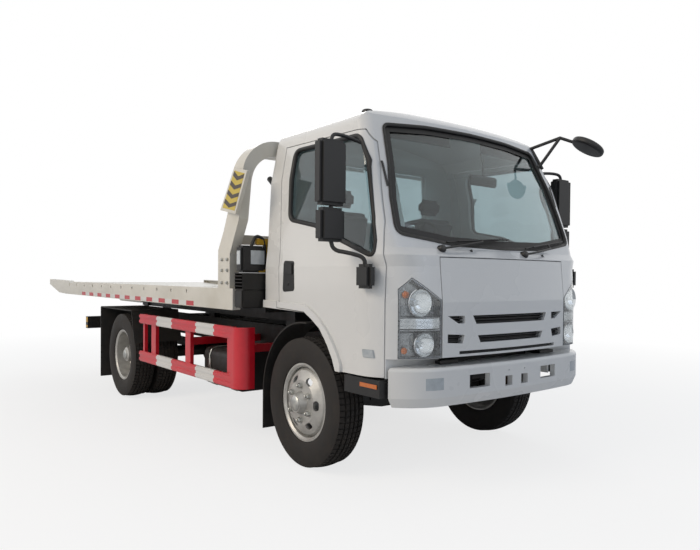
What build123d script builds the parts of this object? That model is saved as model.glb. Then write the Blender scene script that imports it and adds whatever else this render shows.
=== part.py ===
from build123d import *
import os
from math import cos, radians, sin

os.makedirs("parts", exist_ok=True)

# A flatbed tow truck. X points forward, Y to the truck's left and Z up, all in millimetres.
# The origin is on the ground under the middle of the whole truck.
# Places along the truck are setbacks: how far they lie behind the front axle (ahead of it when negative).

overall_length = 7195.0
front_overhang = 1045.0
wheelbase = 3365.0
bed_width = 2288.0

tyre_radius = 441.0
tyre_width = 215.0
rim_radius = 263.0
front_wheel_y = 856.0
rear_wheel_y = 964.0
twin_spacing = 245.0

overrun = 300.0  # how far cutting shapes run past what they cut
fit_gap = 0.3  # between pieces that seat on each other
swing_gap = 6.0  # round doors and lids

sides = (-1, 1)  # the truck's right is -1, its left is 1
side_names = {-1: "right", 1: "left"}

front_axle_x = overall_length / 2 - front_overhang


def at(setback):
    """The X of a place that lies this far behind the front axle."""
    return front_axle_x - setback


def slab(x, y, z):
    """A plain rectangular piece between pairs of low and high coordinates."""
    with BuildPart() as piece:
        with BuildSketch(Plane.XY.offset(z[0])):
            with Locations(((x[0] + x[1]) / 2, (y[0] + y[1]) / 2)):
                Rectangle(x[1] - x[0], y[1] - y[0])
        extrude(amount=z[1] - z[0])
    return piece.part


def side_prism(points, y_low, y_high):
    """An outline of (x, z) points, drawn out from y_low to y_high."""
    with BuildPart() as piece:
        with BuildSketch(Plane.XZ.offset(-y_low)):
            with BuildLine():
                Polyline(*points, close=True)
            make_face()
        extrude(amount=y_low - y_high)
    return piece.part


def front_prism(points, x_low, x_high, corners=()):
    """An outline of (y, z) points with some corners rounded, drawn out from x_low to x_high."""
    with BuildPart() as piece:
        with BuildSketch(Plane.YZ.offset(x_low)) as face:
            with BuildLine():
                Polyline(*points, close=True)
            make_face()
            for y, z, radius in corners:
                fillet(face.vertices().sort_by_distance((y, z, 0))[0], radius=radius)
        extrude(amount=x_high - x_low)
    return piece.part


def tube(points, radius):
    """A round bar through a row of places, with a ball at each bend."""
    with BuildPart() as piece:
        for start, end in zip(points, points[1:]):
            run = Vector(*end) - Vector(*start)
            with BuildSketch(Plane(origin=start, z_dir=run)):
                Circle(radius)
            extrude(amount=run.length)
        if len(points) > 2:
            with Locations(*[Location(bend) for bend in points[1:-1]]):
                Sphere(radius)
    return piece.part


def both_sides(points):
    """The same (y, z) outline for the right and the left."""
    return [[(side * y, z) for y, z in points] for side in sides]


# Chassis frame: two channel rails joined by cross members.
rail_top = 860.0
rail_height = 220.0
rail_y = 410.0
rail_flange = 70.0
rail_sheet = 9.0
rail_front_setback = -790.0
rail_rear_setback = 4560.0
member_width = 90.0
member_height = 120.0
member_setbacks = (-740.0, 1500.0, 2350.0, 4100.0, 4500.0)
rail_bottom = rail_top - rail_height
saddle_setbacks = (900.0, 2600.0, 3900.0)
saddle_length = 120.0
tilt_rail_y = (345.0, 404.0)
tilt_rail_z = (905.0, 1010.0)
tilt_pivot_setback = 4450.0
tilt_pivot_z = 935.0
cab_rest_setbacks = (370.0, 430.0)
cab_rest_z = 1062.0
hinge_bracket_setbacks = (-915.0, -870.0)
hinge_bracket_y = (470.0, 560.0)
hinge_bracket_z = (766.0, 786.0)
tilt_ear_sheet = 20.0
tilt_ear_half = 60.0
tilt_pin_radius = 22.0
pin_gap = 0.5
cylinder_foot = (3300.0, 760.0)  # setback, height
foot_pin_radius = 20.0

with BuildPart() as chassis_frame:
    for side in sides:
        with BuildSketch(Plane.YZ.offset(at(rail_rear_setback))):
            with BuildLine():
                Polyline(
                    (side * rail_y, rail_bottom),
                    (side * rail_y, rail_top),
                    (side * (rail_y - rail_flange), rail_top),
                    (side * (rail_y - rail_flange), rail_top - rail_sheet),
                    (side * (rail_y - rail_sheet), rail_top - rail_sheet),
                    (side * (rail_y - rail_sheet), rail_bottom + rail_sheet),
                    (side * (rail_y - rail_flange), rail_bottom + rail_sheet),
                    (side * (rail_y - rail_flange), rail_bottom),
                    close=True,
                )
            make_face()
        extrude(amount=rail_rear_setback - rail_front_setback)
    with BuildSketch(Plane.XY.offset(rail_bottom + rail_sheet)):
        with Locations([(at(setback), 0) for setback in member_setbacks]):
            Rectangle(member_width, 2 * (rail_y - rail_sheet))
    extrude(amount=member_height)
    for side in sides:
        # saddles that the tilt frame lies on
        for setback in saddle_setbacks:
            add(
                slab(
                    (at(setback) - saddle_length / 2, at(setback) + saddle_length / 2),
                    sorted((side * tilt_rail_y[0], side * tilt_rail_y[1])),
                    (rail_top, tilt_rail_z[0] - fit_gap),
                )
            )
        # the ear and pin of the tilt hinge
        add(
            slab(
                (at(tilt_pivot_setback) - tilt_ear_half, at(tilt_pivot_setback) + tilt_ear_half),
                sorted((side * rail_y, side * (rail_y + tilt_ear_sheet))),
                (rail_bottom + rail_height / 2, tilt_pivot_z + tilt_ear_half),
            )
        )
        with BuildSketch(Plane.XZ.offset(-side * (rail_y + tilt_ear_sheet))):
            with Locations((at(tilt_pivot_setback), tilt_pivot_z)):
                Circle(tilt_pin_radius)
        extrude(amount=side * (rail_y + tilt_ear_sheet - tilt_rail_y[0]))
        # the rest under the cab's rear and the bracket of its tilt hinge at the front
        add(
            slab(
                (at(cab_rest_setbacks[1]), at(cab_rest_setbacks[0])),
                sorted((side * (rail_y - rail_flange), side * rail_y)),
                (rail_top, cab_rest_z - fit_gap),
            )
        )
        add(
            slab(
                (at(rail_front_setback + member_width), at(hinge_bracket_setbacks[0])),
                sorted((side * rail_y, side * hinge_bracket_y[0])),
                (hinge_bracket_z[0], hinge_bracket_z[1] - fit_gap),
            )
        )
        add(
            slab(
                (at(hinge_bracket_setbacks[1]), at(hinge_bracket_setbacks[0])),
                sorted((side * rail_y, side * hinge_bracket_y[1])),
                (hinge_bracket_z[0], hinge_bracket_z[1] - fit_gap),
            )
        )
    # the shaft that carries the feet of the lift cylinders
    with BuildSketch(Plane.XZ.offset(-(rail_y - rail_sheet))):
        with Locations((at(cylinder_foot[0]), cylinder_foot[1])):
            Circle(foot_pin_radius)
    extrude(amount=2 * (rail_y - rail_sheet))
chassis_frame.part.label = "chassis_frame"
export_step(chassis_frame.part, "parts/chassis_frame.step")

# Front axle: a forged beam that dips between the springs and ends in the kingpin eyes.
kingpin_y = 745.0
kingpin_eye_radius = 34.0
kingpin_eye_height = 110.0
kingpin_gap = 0.8
beam_width = 90.0
beam_height = 80.0
beam_drop = 60.0
beam_seat_y = 470.0
beam_dip_y = 300.0
spring_y = 375.0
spring_width = 64.0
spring_pad_half = 55.0

with BuildPart() as front_axle:
    with BuildSketch(Plane.YZ.offset(front_axle_x - beam_width / 2)):
        with BuildLine():
            Polyline(
                (kingpin_y, tyre_radius + beam_height / 2),
                (beam_seat_y, tyre_radius + beam_height / 2 - beam_drop / 2),
                (beam_dip_y, tyre_radius + beam_height / 2 - beam_drop),
                (-beam_dip_y, tyre_radius + beam_height / 2 - beam_drop),
                (-beam_seat_y, tyre_radius + beam_height / 2 - beam_drop / 2),
                (-kingpin_y, tyre_radius + beam_height / 2),
                (-kingpin_y, tyre_radius - beam_height / 2),
                (-beam_seat_y, tyre_radius - beam_height / 2 - beam_drop / 2),
                (-beam_dip_y, tyre_radius - beam_height / 2 - beam_drop),
                (beam_dip_y, tyre_radius - beam_height / 2 - beam_drop),
                (beam_seat_y, tyre_radius - beam_height / 2 - beam_drop / 2),
                (kingpin_y, tyre_radius - beam_height / 2),
                close=True,
            )
        make_face()
    extrude(amount=beam_width)
    for side in sides:
        with BuildSketch(Plane.XY.offset(tyre_radius - kingpin_eye_height / 2)):
            with Locations((front_axle_x, side * kingpin_y)):
                Circle(kingpin_eye_radius)
        extrude(amount=kingpin_eye_height)
        # the beam stops at the eye, so that the knuckle can turn round it
        with BuildSketch(Plane.XY.offset(tyre_radius - kingpin_eye_height)):
            with Locations((front_axle_x, side * (kingpin_y + beam_width / 2))):
                Rectangle(2 * beam_width, beam_width)
            with Locations((front_axle_x, side * kingpin_y)):
                Circle(kingpin_eye_radius, mode=Mode.SUBTRACT)
        extrude(amount=2 * kingpin_eye_height, mode=Mode.SUBTRACT)
        # the pad that the leaf spring is clamped to
        add(
            slab(
                (front_axle_x - spring_pad_half, front_axle_x + spring_pad_half),
                (side * spring_y - spring_width / 2, side * spring_y + spring_width / 2),
                (tyre_radius - beam_height / 2, tyre_radius + beam_height / 2 - beam_drop / 2 - fit_gap),
            )
        )
front_axle.part.label = "front_axle"
export_step(front_axle.part, "parts/front_axle.step")

# Rear axle: a banjo housing with a round case, its tubes running into the twin wheels.
axle_tube_radius = 62.0
axle_case_radius = 185.0
axle_case_width = 150.0
axle_tube_y = 1010.0
axle_end_radius = 44.0
axle_shoulder_y = 590.0
pinion_radius = 65.0
pinion_reach = 255.0
rear_axle_x = front_axle_x - wheelbase

with BuildPart() as rear_axle:
    with BuildSketch(Plane.YZ.offset(rear_axle_x)):
        with BuildLine():
            Polyline(
                (-axle_tube_y, tyre_radius),
                (-axle_tube_y, tyre_radius + axle_end_radius),
                (-axle_shoulder_y, tyre_radius + axle_end_radius),
                (-axle_shoulder_y, tyre_radius + axle_tube_radius),
                (-axle_case_width, tyre_radius + axle_tube_radius),
                (-axle_case_width / 2, tyre_radius + axle_case_radius),
                (axle_case_width / 2, tyre_radius + axle_case_radius),
                (axle_case_width, tyre_radius + axle_tube_radius),
                (axle_shoulder_y, tyre_radius + axle_tube_radius),
                (axle_shoulder_y, tyre_radius + axle_end_radius),
                (axle_tube_y, tyre_radius + axle_end_radius),
                (axle_tube_y, tyre_radius),
                close=True,
            )
        make_face()
    revolve(axis=Axis((rear_axle_x, 0, tyre_radius), (0, 1, 0)))
    with BuildSketch(Plane.YZ.offset(rear_axle_x)):
        with Locations((0, tyre_radius)):
            Circle(pinion_radius)
    extrude(amount=pinion_reach)
rear_axle.part.label = "rear_axle"
export_step(rear_axle.part, "parts/rear_axle.step")

# Leaf springs: a pack on each side of each axle, an arc between hangers under the rails.
hanger_radius = 26.0
spring_rows = (  # axle setback, half length, leaf count, lowest leaf's height above the ground
    (0.0, 560.0, 3, tyre_radius + beam_height / 2 - beam_drop / 2),
    (wheelbase, 620.0, 6, tyre_radius + axle_tube_radius),
)
leaf_thickness = 14.0
leaf_shorter_share = 0.12  # each leaf below the main one is shorter by this share of it

with BuildPart() as leaf_springs:
    for setback, half_length, leaves, seat_z in spring_rows:
        eye_z = rail_bottom - hanger_radius
        for side in sides:
            y_inner = side * spring_y + spring_width / 2
            for leaf in range(leaves):
                reach = half_length * (1 - leaf_shorter_share * leaf)
                drop_share = (reach / half_length) ** 2
                low = seat_z + (leaves - 1 - leaf) * leaf_thickness
                end = low + (eye_z - seat_z - (leaves - 1) * leaf_thickness) * drop_share
                with BuildSketch(Plane.XZ.offset(-y_inner)):
                    with BuildLine():
                        ThreePointArc((at(setback) - reach, end), (at(setback), low), (at(setback) + reach, end))
                        Line((at(setback) + reach, end), (at(setback) + reach, end + leaf_thickness))
                        ThreePointArc(
                            (at(setback) + reach, end + leaf_thickness),
                            (at(setback), low + leaf_thickness),
                            (at(setback) - reach, end + leaf_thickness),
                        )
                        Line((at(setback) - reach, end + leaf_thickness), (at(setback) - reach, end))
                    make_face()
                extrude(amount=spring_width)
            for end_x in (at(setback) - half_length, at(setback) + half_length):
                with BuildSketch(Plane.XZ.offset(-y_inner)):
                    with Locations((end_x, eye_z)):
                        Circle(hanger_radius)
                extrude(amount=spring_width)
leaf_springs.part.label = "leaf_springs"
export_step(leaf_springs.part, "parts/leaf_springs.step")

# Engine with its gearbox: one plain block between the rails, under the cab.
engine_setbacks = (-520.0, 350.0)
gearbox_rear_setback = 950.0
engine_half_width = 300.0
gearbox_half_width = 150.0
engine_z = (560.0, 1000.0)
gearbox_z = (600.0, 830.0)

with BuildPart() as engine:
    add(slab((at(engine_setbacks[1]), at(engine_setbacks[0])), (-engine_half_width, engine_half_width), engine_z))
    add(
        slab(
            (at(gearbox_rear_setback), at(engine_setbacks[1])),
            (-gearbox_half_width, gearbox_half_width),
            gearbox_z,
        )
    )
engine.part.label = "engine"
export_step(engine.part, "parts/engine.step")

# Radiator: a flat pack ahead of the engine, behind the grille.
radiator_setbacks = (-694.7, -620.0)
radiator_half_width = 330.0
radiator_z = (600.0, 1030.0)

with BuildPart() as radiator:
    add(
        slab(
            (at(radiator_setbacks[1]), at(radiator_setbacks[0])),
            (-radiator_half_width, radiator_half_width),
            radiator_z,
        )
    )
radiator.part.label = "radiator"
export_step(radiator.part, "parts/radiator.step")

# Propeller shaft: a tube from the gearbox down to the rear axle's case.
shaft_radius = 42.0
shaft_start_z = 655.0
shaft_end_gap = 4.0
shaft_start = Vector(at(gearbox_rear_setback) - shaft_end_gap, 0, shaft_start_z)
shaft_end = Vector(rear_axle_x + pinion_reach + shaft_end_gap, 0, tyre_radius)
shaft_run = shaft_end - shaft_start

with BuildPart() as propeller_shaft:
    with BuildSketch(Plane(origin=shaft_start, z_dir=shaft_run)):
        Circle(shaft_radius)
    extrude(amount=shaft_run.length)
propeller_shaft.part.label = "propeller_shaft"
export_step(propeller_shaft.part, "parts/propeller_shaft.step")

# Cab form: a front outline drawn back along the truck and trimmed by the nose line, which bows in plan.
# The same function with an inset gives the room inside the walls.
cab_half_width = 965.0
cab_rear_setback = 480.0
belt_z = 1350.0
shoulder_z = 2215.0
shoulder_y = 872.0
roof_edge_y = 760.0
roof_edge_z = 2330.0
roof_z = 2385.0
shoulder_round = 22.0  # how far the bend between side and roof swells
cab_wall = 55.0
cab_floor = 40.0
nose_setback = -1010.0
nose_bow = 4500.0  # radius of the front in plan
sill_z = 697.0
sill_front_setback = -818.0
panel_bottom_z = 812.0
lamp_line_z = 1140.0
hood_line = (-983.0, 1417.0)  # setback, height
cowl_line = (-935.0, 1462.0)
header_line = (-592.0, 2300.0)
roof_front = (-330.0, 2387.0)
roof_front_mid = (-495.0, 2362.0)
header_lap = 3.0  # the roof's rounding starts this far out, to cross the front panel cleanly
rear_roof_radius = 130.0
arch_front_setback = -418.0
arch_mid = (-330.0, 860.0)
arch_top = (-60.0, 1048.0)
arch_rear_z = 1062.0
tunnel_half_width = 480.0
firewall_setback = -880.0
firewall_top_z = 1430.0


nose_rows = (  # height, setback of the nose at the middle, half width, corner radius in plan
    (sill_z - overrun, nose_setback, cab_half_width, 330.0),
    (lamp_line_z, nose_setback, cab_half_width, 330.0),
    (belt_z, -988.0, cab_half_width, 310.0),
    (hood_line[1], hood_line[0], 958.0, 250.0),
    (cowl_line[1], cowl_line[0], 952.0, 170.0),
    (1600.0, -885.0, 943.0, 110.0),
    (1960.0, -755.0, 925.0, 90.0),
    (header_line[1], header_line[0], 856.0, 90.0),
    (roof_z + overrun / 4, -530.0, 825.0, 90.0),
)
sharpest_corner = 12.0


def arch_room(inset, floor_inset):
    """The room over the front wheels as a face on the side plane, grown by an inset."""
    rear = at(cab_rear_setback) - overrun
    front = at(arch_front_setback) + inset
    with BuildSketch(Plane.XZ) as face:
        with BuildLine():
            Polyline((rear, 0), (front, 0), (front, sill_z + floor_inset))
            ThreePointArc(
                (front, sill_z + floor_inset),
                (at(arch_mid[0]) + inset * cos(radians(45)), arch_mid[1] + inset * cos(radians(45))),
                (at(arch_top[0]), arch_top[1] + floor_inset),
            )
            Polyline(
                (at(arch_top[0]), arch_top[1] + floor_inset),
                (at(cab_rear_setback), arch_rear_z + floor_inset),
                (rear, arch_rear_z + floor_inset),
                (rear, 0),
            )
        make_face()
    return face.sketch


def cab_form(inset, tunnel=True, bottom=True):
    """The cab's outer form, or the room inside its walls, with or without what is cut from below."""
    floor_inset = inset * cab_floor / cab_wall
    rear = at(cab_rear_setback) + inset
    bow_x = at(nose_setback) - nose_bow
    with BuildPart() as form:
        # plan outlines with a bowed front and round corners, from the sill up past the roof
        for low, high in zip(nose_rows, nose_rows[1:]):
            for height, setback, half_width, corner in (low, high):
                with BuildSketch(Plane.XY.offset(height)) as plan:
                    front = at(setback) - inset
                    with Locations(((rear + front) / 2, 0)):
                        Rectangle(front - rear, 2 * (half_width - inset))
                    with Locations((bow_x, 0)):
                        Circle(front - bow_x, mode=Mode.INTERSECT)
                    fillet(plan.vertices().group_by(Axis.X)[-1], radius=max(corner - inset, sharpest_corner))
            loft(ruled=True)
        # the roof: its sides rolled over into a crowned top
        with BuildSketch(Plane.YZ.offset(rear - overrun)):
            with BuildLine():
                bend_y = (shoulder_y + roof_edge_y) / 2 + shoulder_round - inset
                bend_z = (shoulder_z + roof_edge_z) / 2 + shoulder_round - inset
                ThreePointArc(
                    (shoulder_y - inset, shoulder_z - inset),
                    (bend_y, bend_z),
                    (roof_edge_y - inset, roof_edge_z - inset),
                )
                ThreePointArc(
                    (roof_edge_y - inset, roof_edge_z - inset),
                    (0, roof_z - inset),
                    (-(roof_edge_y - inset), roof_edge_z - inset),
                )
                ThreePointArc(
                    (-(roof_edge_y - inset), roof_edge_z - inset),
                    (-bend_y, bend_z),
                    (-(shoulder_y - inset), shoulder_z - inset),
                )
                Polyline(
                    (-(shoulder_y - inset), shoulder_z - inset),
                    (-cab_half_width - overrun, shoulder_z - inset),
                    (-cab_half_width - overrun, roof_z + overrun),
                    (cab_half_width + overrun, roof_z + overrun),
                    (cab_half_width + overrun, shoulder_z - inset),
                    (shoulder_y - inset, shoulder_z - inset),
                )
            make_face()
        extrude(amount=at(nose_setback) + overrun - rear + overrun, mode=Mode.SUBTRACT)
        # the front edge of the roof, turned about the middle of the bow
        with BuildSketch(Plane.XZ):
            with BuildLine():
                ThreePointArc(
                    (at(header_line[0]) - inset + header_lap, header_line[1]),
                    (at(roof_front_mid[0]) - inset, roof_front_mid[1]),
                    (at(roof_front[0]) - inset, roof_front[1]),
                )
                Polyline(
                    (at(roof_front[0]) - inset, roof_front[1]),
                    (at(roof_front[0]) - inset, roof_z + overrun),
                    (at(nose_setback) + 2 * overrun, roof_z + overrun),
                    (at(nose_setback) + 2 * overrun, header_line[1]),
                    (at(header_line[0]) - inset + header_lap, header_line[1]),
                )
            make_face()
        revolve(axis=Axis((bow_x, 0, 0), (0, 0, 1)), mode=Mode.SUBTRACT)
        # the rear edge of the roof is rounded
        with BuildSketch(Plane.XZ.offset(-cab_half_width - overrun)):
            with BuildLine():
                top = roof_z - inset
                radius = rear_roof_radius
                Polyline(
                    (rear - header_lap, top - radius),
                    (rear - overrun, top - radius),
                    (rear - overrun, top + overrun),
                    (rear + radius, top + overrun),
                    (rear + radius, top),
                )
                RadiusArc((rear + radius, top), (rear - header_lap, top - radius), -radius)
            make_face()
        extrude(amount=2 * (cab_half_width + overrun), mode=Mode.SUBTRACT)
        if bottom:
            # under the floor, under the front panel and over the front wheels
            below = (sill_z - 2 * overrun, sill_z + floor_inset)
            across = (-cab_half_width - overrun, cab_half_width + overrun)
            add(slab((rear - overrun, at(nose_setback) + overrun), across, below), mode=Mode.SUBTRACT)
            panel_front = (at(sill_front_setback) - inset, at(nose_setback) + overrun)
            add(slab(panel_front, across, (0, panel_bottom_z + floor_inset)), mode=Mode.SUBTRACT)
            with BuildSketch(Plane.XZ):
                add(arch_room(inset, floor_inset))
            extrude(amount=cab_half_width + overrun, both=True, mode=Mode.SUBTRACT)
        # over the engine
        if bottom and tunnel:
            add(
                slab(
                    (rear - overrun, at(nose_setback) + overrun),
                    (-tunnel_half_width - floor_inset, tunnel_half_width + floor_inset),
                    (0, arch_rear_z + floor_inset),
                ),
                mode=Mode.SUBTRACT,
            )
    return form.part


cab_outer = cab_form(0)

with BuildPart() as cab_room:
    add(cab_form(cab_wall))
    add(
        slab(
            (at(firewall_setback), at(nose_setback) + overrun),
            (-cab_half_width, cab_half_width),
            (0, firewall_top_z),
        ),
        mode=Mode.SUBTRACT,
    )

# Doors: the cab's side inside the door's outline, whole wall thick, with the window cut.
door_outline = (  # setback, height
    (-815.0, sill_z),
    (-815.0, 1360.0),
    (-786.0, 1606.0),
    (-673.0, 1957.0),
    (-602.0, 2115.0),
    (-541.0, 2195.0),
    (350.0, 2205.0),
    (300.0, 1400.0),
    (290.0, arch_rear_z),
    (-60.0, arch_top[1]),
    (-240.0, 952.0),
    (-330.0, 852.0),
    (-385.0, 770.0),
    (-418.0, sill_z),
)
window_outline = (
    (205.0, 1676.0),
    (222.0, 2165.0),
    (-520.0, 2158.0),
    (-636.0, 1983.0),
    (-725.0, 1640.0),
    (-752.0, 1500.0),
    (-750.0, 1402.0),
    (-448.0, 1500.0),
    (-120.0, 1617.0),
)
window_corners = (  # setback, height, radius
    (205.0, 1676.0, 70.0),
    (222.0, 2165.0, 60.0),
    (-520.0, 2158.0, 90.0),
    (-750.0, 1402.0, 40.0),
)
flare_width = 52.0
flare_stand_off = 20.0
glass_thickness = 6.0
glass_inset = 20.0
door_root_y = 740.0  # the doors reach in no further than this
door_hinge = (-830.0, 930.0)  # setback and y of the upright line that a door turns about
door_hinge_room = 94.0  # the floor's edge stays this far off that line
window_root_y = 600.0


def shrunk(outline, gap):
    """An outline of (setback, height) drawn in by a gap all round, as a sketch on the side plane."""
    with BuildSketch(Plane.XZ) as face:
        with BuildLine():
            Polyline(*[(at(setback), z) for setback, z in outline], close=True)
        make_face()
        if outline is window_outline:
            for setback, z, radius in window_corners:
                fillet(face.vertices().sort_by_distance((at(setback), z, 0))[0], radius=radius)
        if gap:
            offset(amount=-gap, kind=Kind.INTERSECTION, mode=Mode.REPLACE)
    return face.sketch


def side_prism_at(side, outline, gap, y_low):
    """What lies inside an outline on the cab's side, from a distance off the middle outward."""
    with BuildPart() as piece:
        with BuildSketch(Plane.XZ.offset(-side * y_low)):
            add(shrunk(outline, gap))
        extrude(amount=-side * (cab_half_width + overrun - y_low))
    return piece.part


def door_piece(side, outline, gap, outer, inner):
    """The stretch of the cab's side inside an outline, between an outer and an inner form."""
    with BuildPart() as piece:
        add(side_prism_at(side, outline, gap, door_root_y))
        if outer:
            add(outer, mode=Mode.INTERSECT)
        add(inner, mode=Mode.SUBTRACT)
    return piece.part


def arch_flare(side, door_gap=None):
    """The raised band round the wheel arch: the door's stretch inside a gap, or the shell's without one."""
    outer_y = cab_half_width + flare_stand_off
    with BuildPart() as flare:
        with BuildSketch(Plane.XZ):
            add(arch_room(flare_width, flare_width))
            add(arch_room(0, 0), mode=Mode.SUBTRACT)
            if door_gap is None:
                add(shrunk(door_outline, 0), mode=Mode.SUBTRACT)
            else:
                add(shrunk(door_outline, door_gap), mode=Mode.INTERSECT)
        extrude(amount=-side * outer_y)
        reach = (at(cab_rear_setback), at(door_outline[-1][0] - flare_width))
        band = sorted((side * (cab_half_width - cab_wall / 2), side * outer_y))
        add(slab(reach, band, (sill_z, arch_rear_z + flare_width)), mode=Mode.INTERSECT)
    return flare.part


wall_forms = {
    inset: cab_form(inset, bottom=False)
    for inset in (glass_inset, glass_inset + glass_thickness, cab_wall, cab_wall + swing_gap)
}
door_holes = [door_piece(side, door_outline, 0, None, wall_forms[cab_wall + swing_gap]) for side in sides]
window_holes = [side_prism_at(side, window_outline, 0, window_root_y) for side in sides]

doors = {}
door_glasses = {}
for side, window_hole in zip(sides, window_holes):
    with BuildPart() as door:
        add(door_piece(side, door_outline, swing_gap, cab_outer, wall_forms[cab_wall]))
        add(arch_flare(side, swing_gap))
        add(window_hole, mode=Mode.SUBTRACT)
    doors[side] = door
    with BuildPart() as door_glass:
        glass_forms = (wall_forms[glass_inset], wall_forms[glass_inset + glass_thickness])
        add(door_piece(side, window_outline, 0, *glass_forms))
    door_glasses[side] = door_glass
doors[-1].part.label = "door_right"
export_step(doors[-1].part, "parts/door_right.step")
doors[1].part.label = "door_left"
export_step(doors[1].part, "parts/door_left.step")
door_glasses[-1].part.label = "door_glass_right"
export_step(door_glasses[-1].part, "parts/door_glass_right.step")
door_glasses[1].part.label = "door_glass_left"
export_step(door_glasses[1].part, "parts/door_glass_left.step")

# Front lid: the panel with the grille between the lamps, hinged under the windscreen.
lid_half_width = 598.0
lid_z = (panel_bottom_z, 1405.0)
lid_thickness = 45.0
grille_openings = (  # (y, z) corners of one opening, repeated on the other side when it is not in the middle
    ((-365.0, 1058.0), (365.0, 1058.0), (335.0, 1005.0), (-335.0, 1005.0)),
    ((-322.0, 935.0), (322.0, 935.0), (300.0, 890.0), (-300.0, 890.0)),
    ((-470.0, 845.0), (470.0, 845.0), (470.0, 826.0), (-470.0, 826.0)),
    ((430.0, 1058.0), (560.0, 1058.0), (480.0, 1012.0), (430.0, 1012.0)),
    ((430.0, 942.0), (560.0, 950.0), (560.0, 898.0), (445.0, 890.0)),
)

with BuildPart() as lid_room:
    add(slab((at(firewall_setback), at(nose_setback) + overrun), (-lid_half_width, lid_half_width), lid_z))
    add(cab_form(lid_thickness, tunnel=False), mode=Mode.SUBTRACT)
    add(cab_form(0, tunnel=False), mode=Mode.INTERSECT)

with BuildPart() as lid_hole:
    add(
        slab(
            (at(firewall_setback), at(nose_setback) + overrun),
            (-lid_half_width - swing_gap, lid_half_width + swing_gap),
            (0, lid_z[1] + swing_gap),
        )
    )
    add(cab_form(lid_thickness + swing_gap, tunnel=False), mode=Mode.SUBTRACT)

with BuildPart() as front_lid:
    add(lid_room.part)
    for opening in grille_openings:
        mirrored = [(-y, z) for y, z in opening]
        add(front_prism(opening, at(0), at(nose_setback) + overrun), mode=Mode.SUBTRACT)
        add(front_prism(mirrored, at(0), at(nose_setback) + overrun), mode=Mode.SUBTRACT)
front_lid.part.label = "front_lid"
export_step(front_lid.part, "parts/front_lid.step")

# Headlamps: tall units between the lid and the cab's corners.
lamp_outline = ((604.0, 1156.0), (604.0, 814.0), (862.0, 814.0), (862.0, 1218.0), (792.0, 1286.0))
lamp_depth = 90.0
lamp_rear_setback = -828.0
lamp_bowls = (  # setback of the bowl's middle, y, z and radius, the main lamp's and the dipped lamp's
    (-990.0, 742.0, 1140.0, 88.0),
    (-1000.0, 712.0, 900.0, 92.0),
)

with BuildPart() as lamp_room:
    for points in both_sides(lamp_outline):
        add(front_prism(points, at(lamp_rear_setback), at(nose_setback) + overrun))
    add(cab_form(lamp_depth, bottom=False), mode=Mode.SUBTRACT)

with BuildPart() as headlamps:
    add(lamp_room.part)
    add(cab_outer, mode=Mode.INTERSECT)
    for setback, y, z, radius in lamp_bowls:
        with Locations((at(setback), y, z), (at(setback), -y, z)):
            Sphere(radius, mode=Mode.SUBTRACT)
headlamps.part.label = "headlamps"
export_step(headlamps.part, "parts/headlamps.step")

# Cab shell: roof, pillars, floor, rear wall and cowl, with the openings cut.
screen_outline = (  # (y, z) of one half, from the bottom middle
    (0.0, 1476.0),
    (450.0, 1488.0),
    (842.0, 1545.0),
    (825.0, 1760.0),
    (732.0, 2240.0),
    (400.0, 2265.0),
    (0.0, 2272.0),
)
screen_points = list(screen_outline) + [(-y, z) for y, z in screen_outline[-2:0:-1]]
screen_corners = [
    (side * y, z, radius) for side in sides for y, z, radius in ((842.0, 1545.0, 60.0), (732.0, 2240.0, 55.0))
]
rear_window_half = 560.0
rear_window_z = (1720.0, 2150.0)

with BuildPart() as cab_shell:
    add(cab_outer)
    add(cab_room.part, mode=Mode.SUBTRACT)
    for door_hole in door_holes:
        add(door_hole, mode=Mode.SUBTRACT)
    add(lid_hole.part, mode=Mode.SUBTRACT)
    add(lamp_room.part, mode=Mode.SUBTRACT)
    add(front_prism(screen_points, at(0), at(nose_setback) + overrun, screen_corners), mode=Mode.SUBTRACT)
    add(
        slab(
            (at(cab_rear_setback) - overrun, at(0) - cab_wall),
            (-rear_window_half, rear_window_half),
            rear_window_z,
        ),
        mode=Mode.SUBTRACT,
    )
    for side in sides:
        add(arch_flare(side))
        # room for the door's front edge to swing in
        with BuildSketch(Plane.XY.offset(sill_z - overrun)):
            with Locations((at(door_hinge[0]), side * door_hinge[1])):
                Circle(door_hinge_room)
            with Locations((at(door_outline[0][0]) - overrun, side * door_hinge[1])):
                Rectangle(2 * overrun, 2 * door_hinge_room, mode=Mode.INTERSECT)
        extrude(amount=belt_z - sill_z + overrun, mode=Mode.SUBTRACT)
cab_shell.part.label = "cab_shell"
export_step(cab_shell.part, "parts/cab_shell.step")

# Cab glass: the bonded windscreen and the flat rear window.
with BuildPart() as cab_glass:
    add(front_prism(screen_points, at(0), at(nose_setback) + overrun, screen_corners))
    add(wall_forms[glass_inset + glass_thickness], mode=Mode.SUBTRACT)
    add(wall_forms[glass_inset], mode=Mode.INTERSECT)
    for door_hole in door_holes:
        add(door_hole, mode=Mode.SUBTRACT)
    add(
        slab(
            (at(cab_rear_setback) + glass_inset, at(cab_rear_setback) + glass_inset + glass_thickness),
            (-rear_window_half, rear_window_half),
            rear_window_z,
        )
    )
cab_glass.part.label = "cab_glass"
export_step(cab_glass.part, "parts/cab_glass.step")

# Dashboard across the cab, and the seats on their bases.
dash_half_width = 700.0
dash_core_half = 598.0  # between the lamps the dashboard reaches the cab's front wall
dash_outline = (  # setback, height
    (-820.0, 1150.0),
    (-820.0, 1415.0),
    (-700.0, 1400.0),
    (-640.0, 1330.0),
    (-690.0, 1150.0),
)

dash_points = [(at(setback), z) for setback, z in dash_outline]

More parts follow.
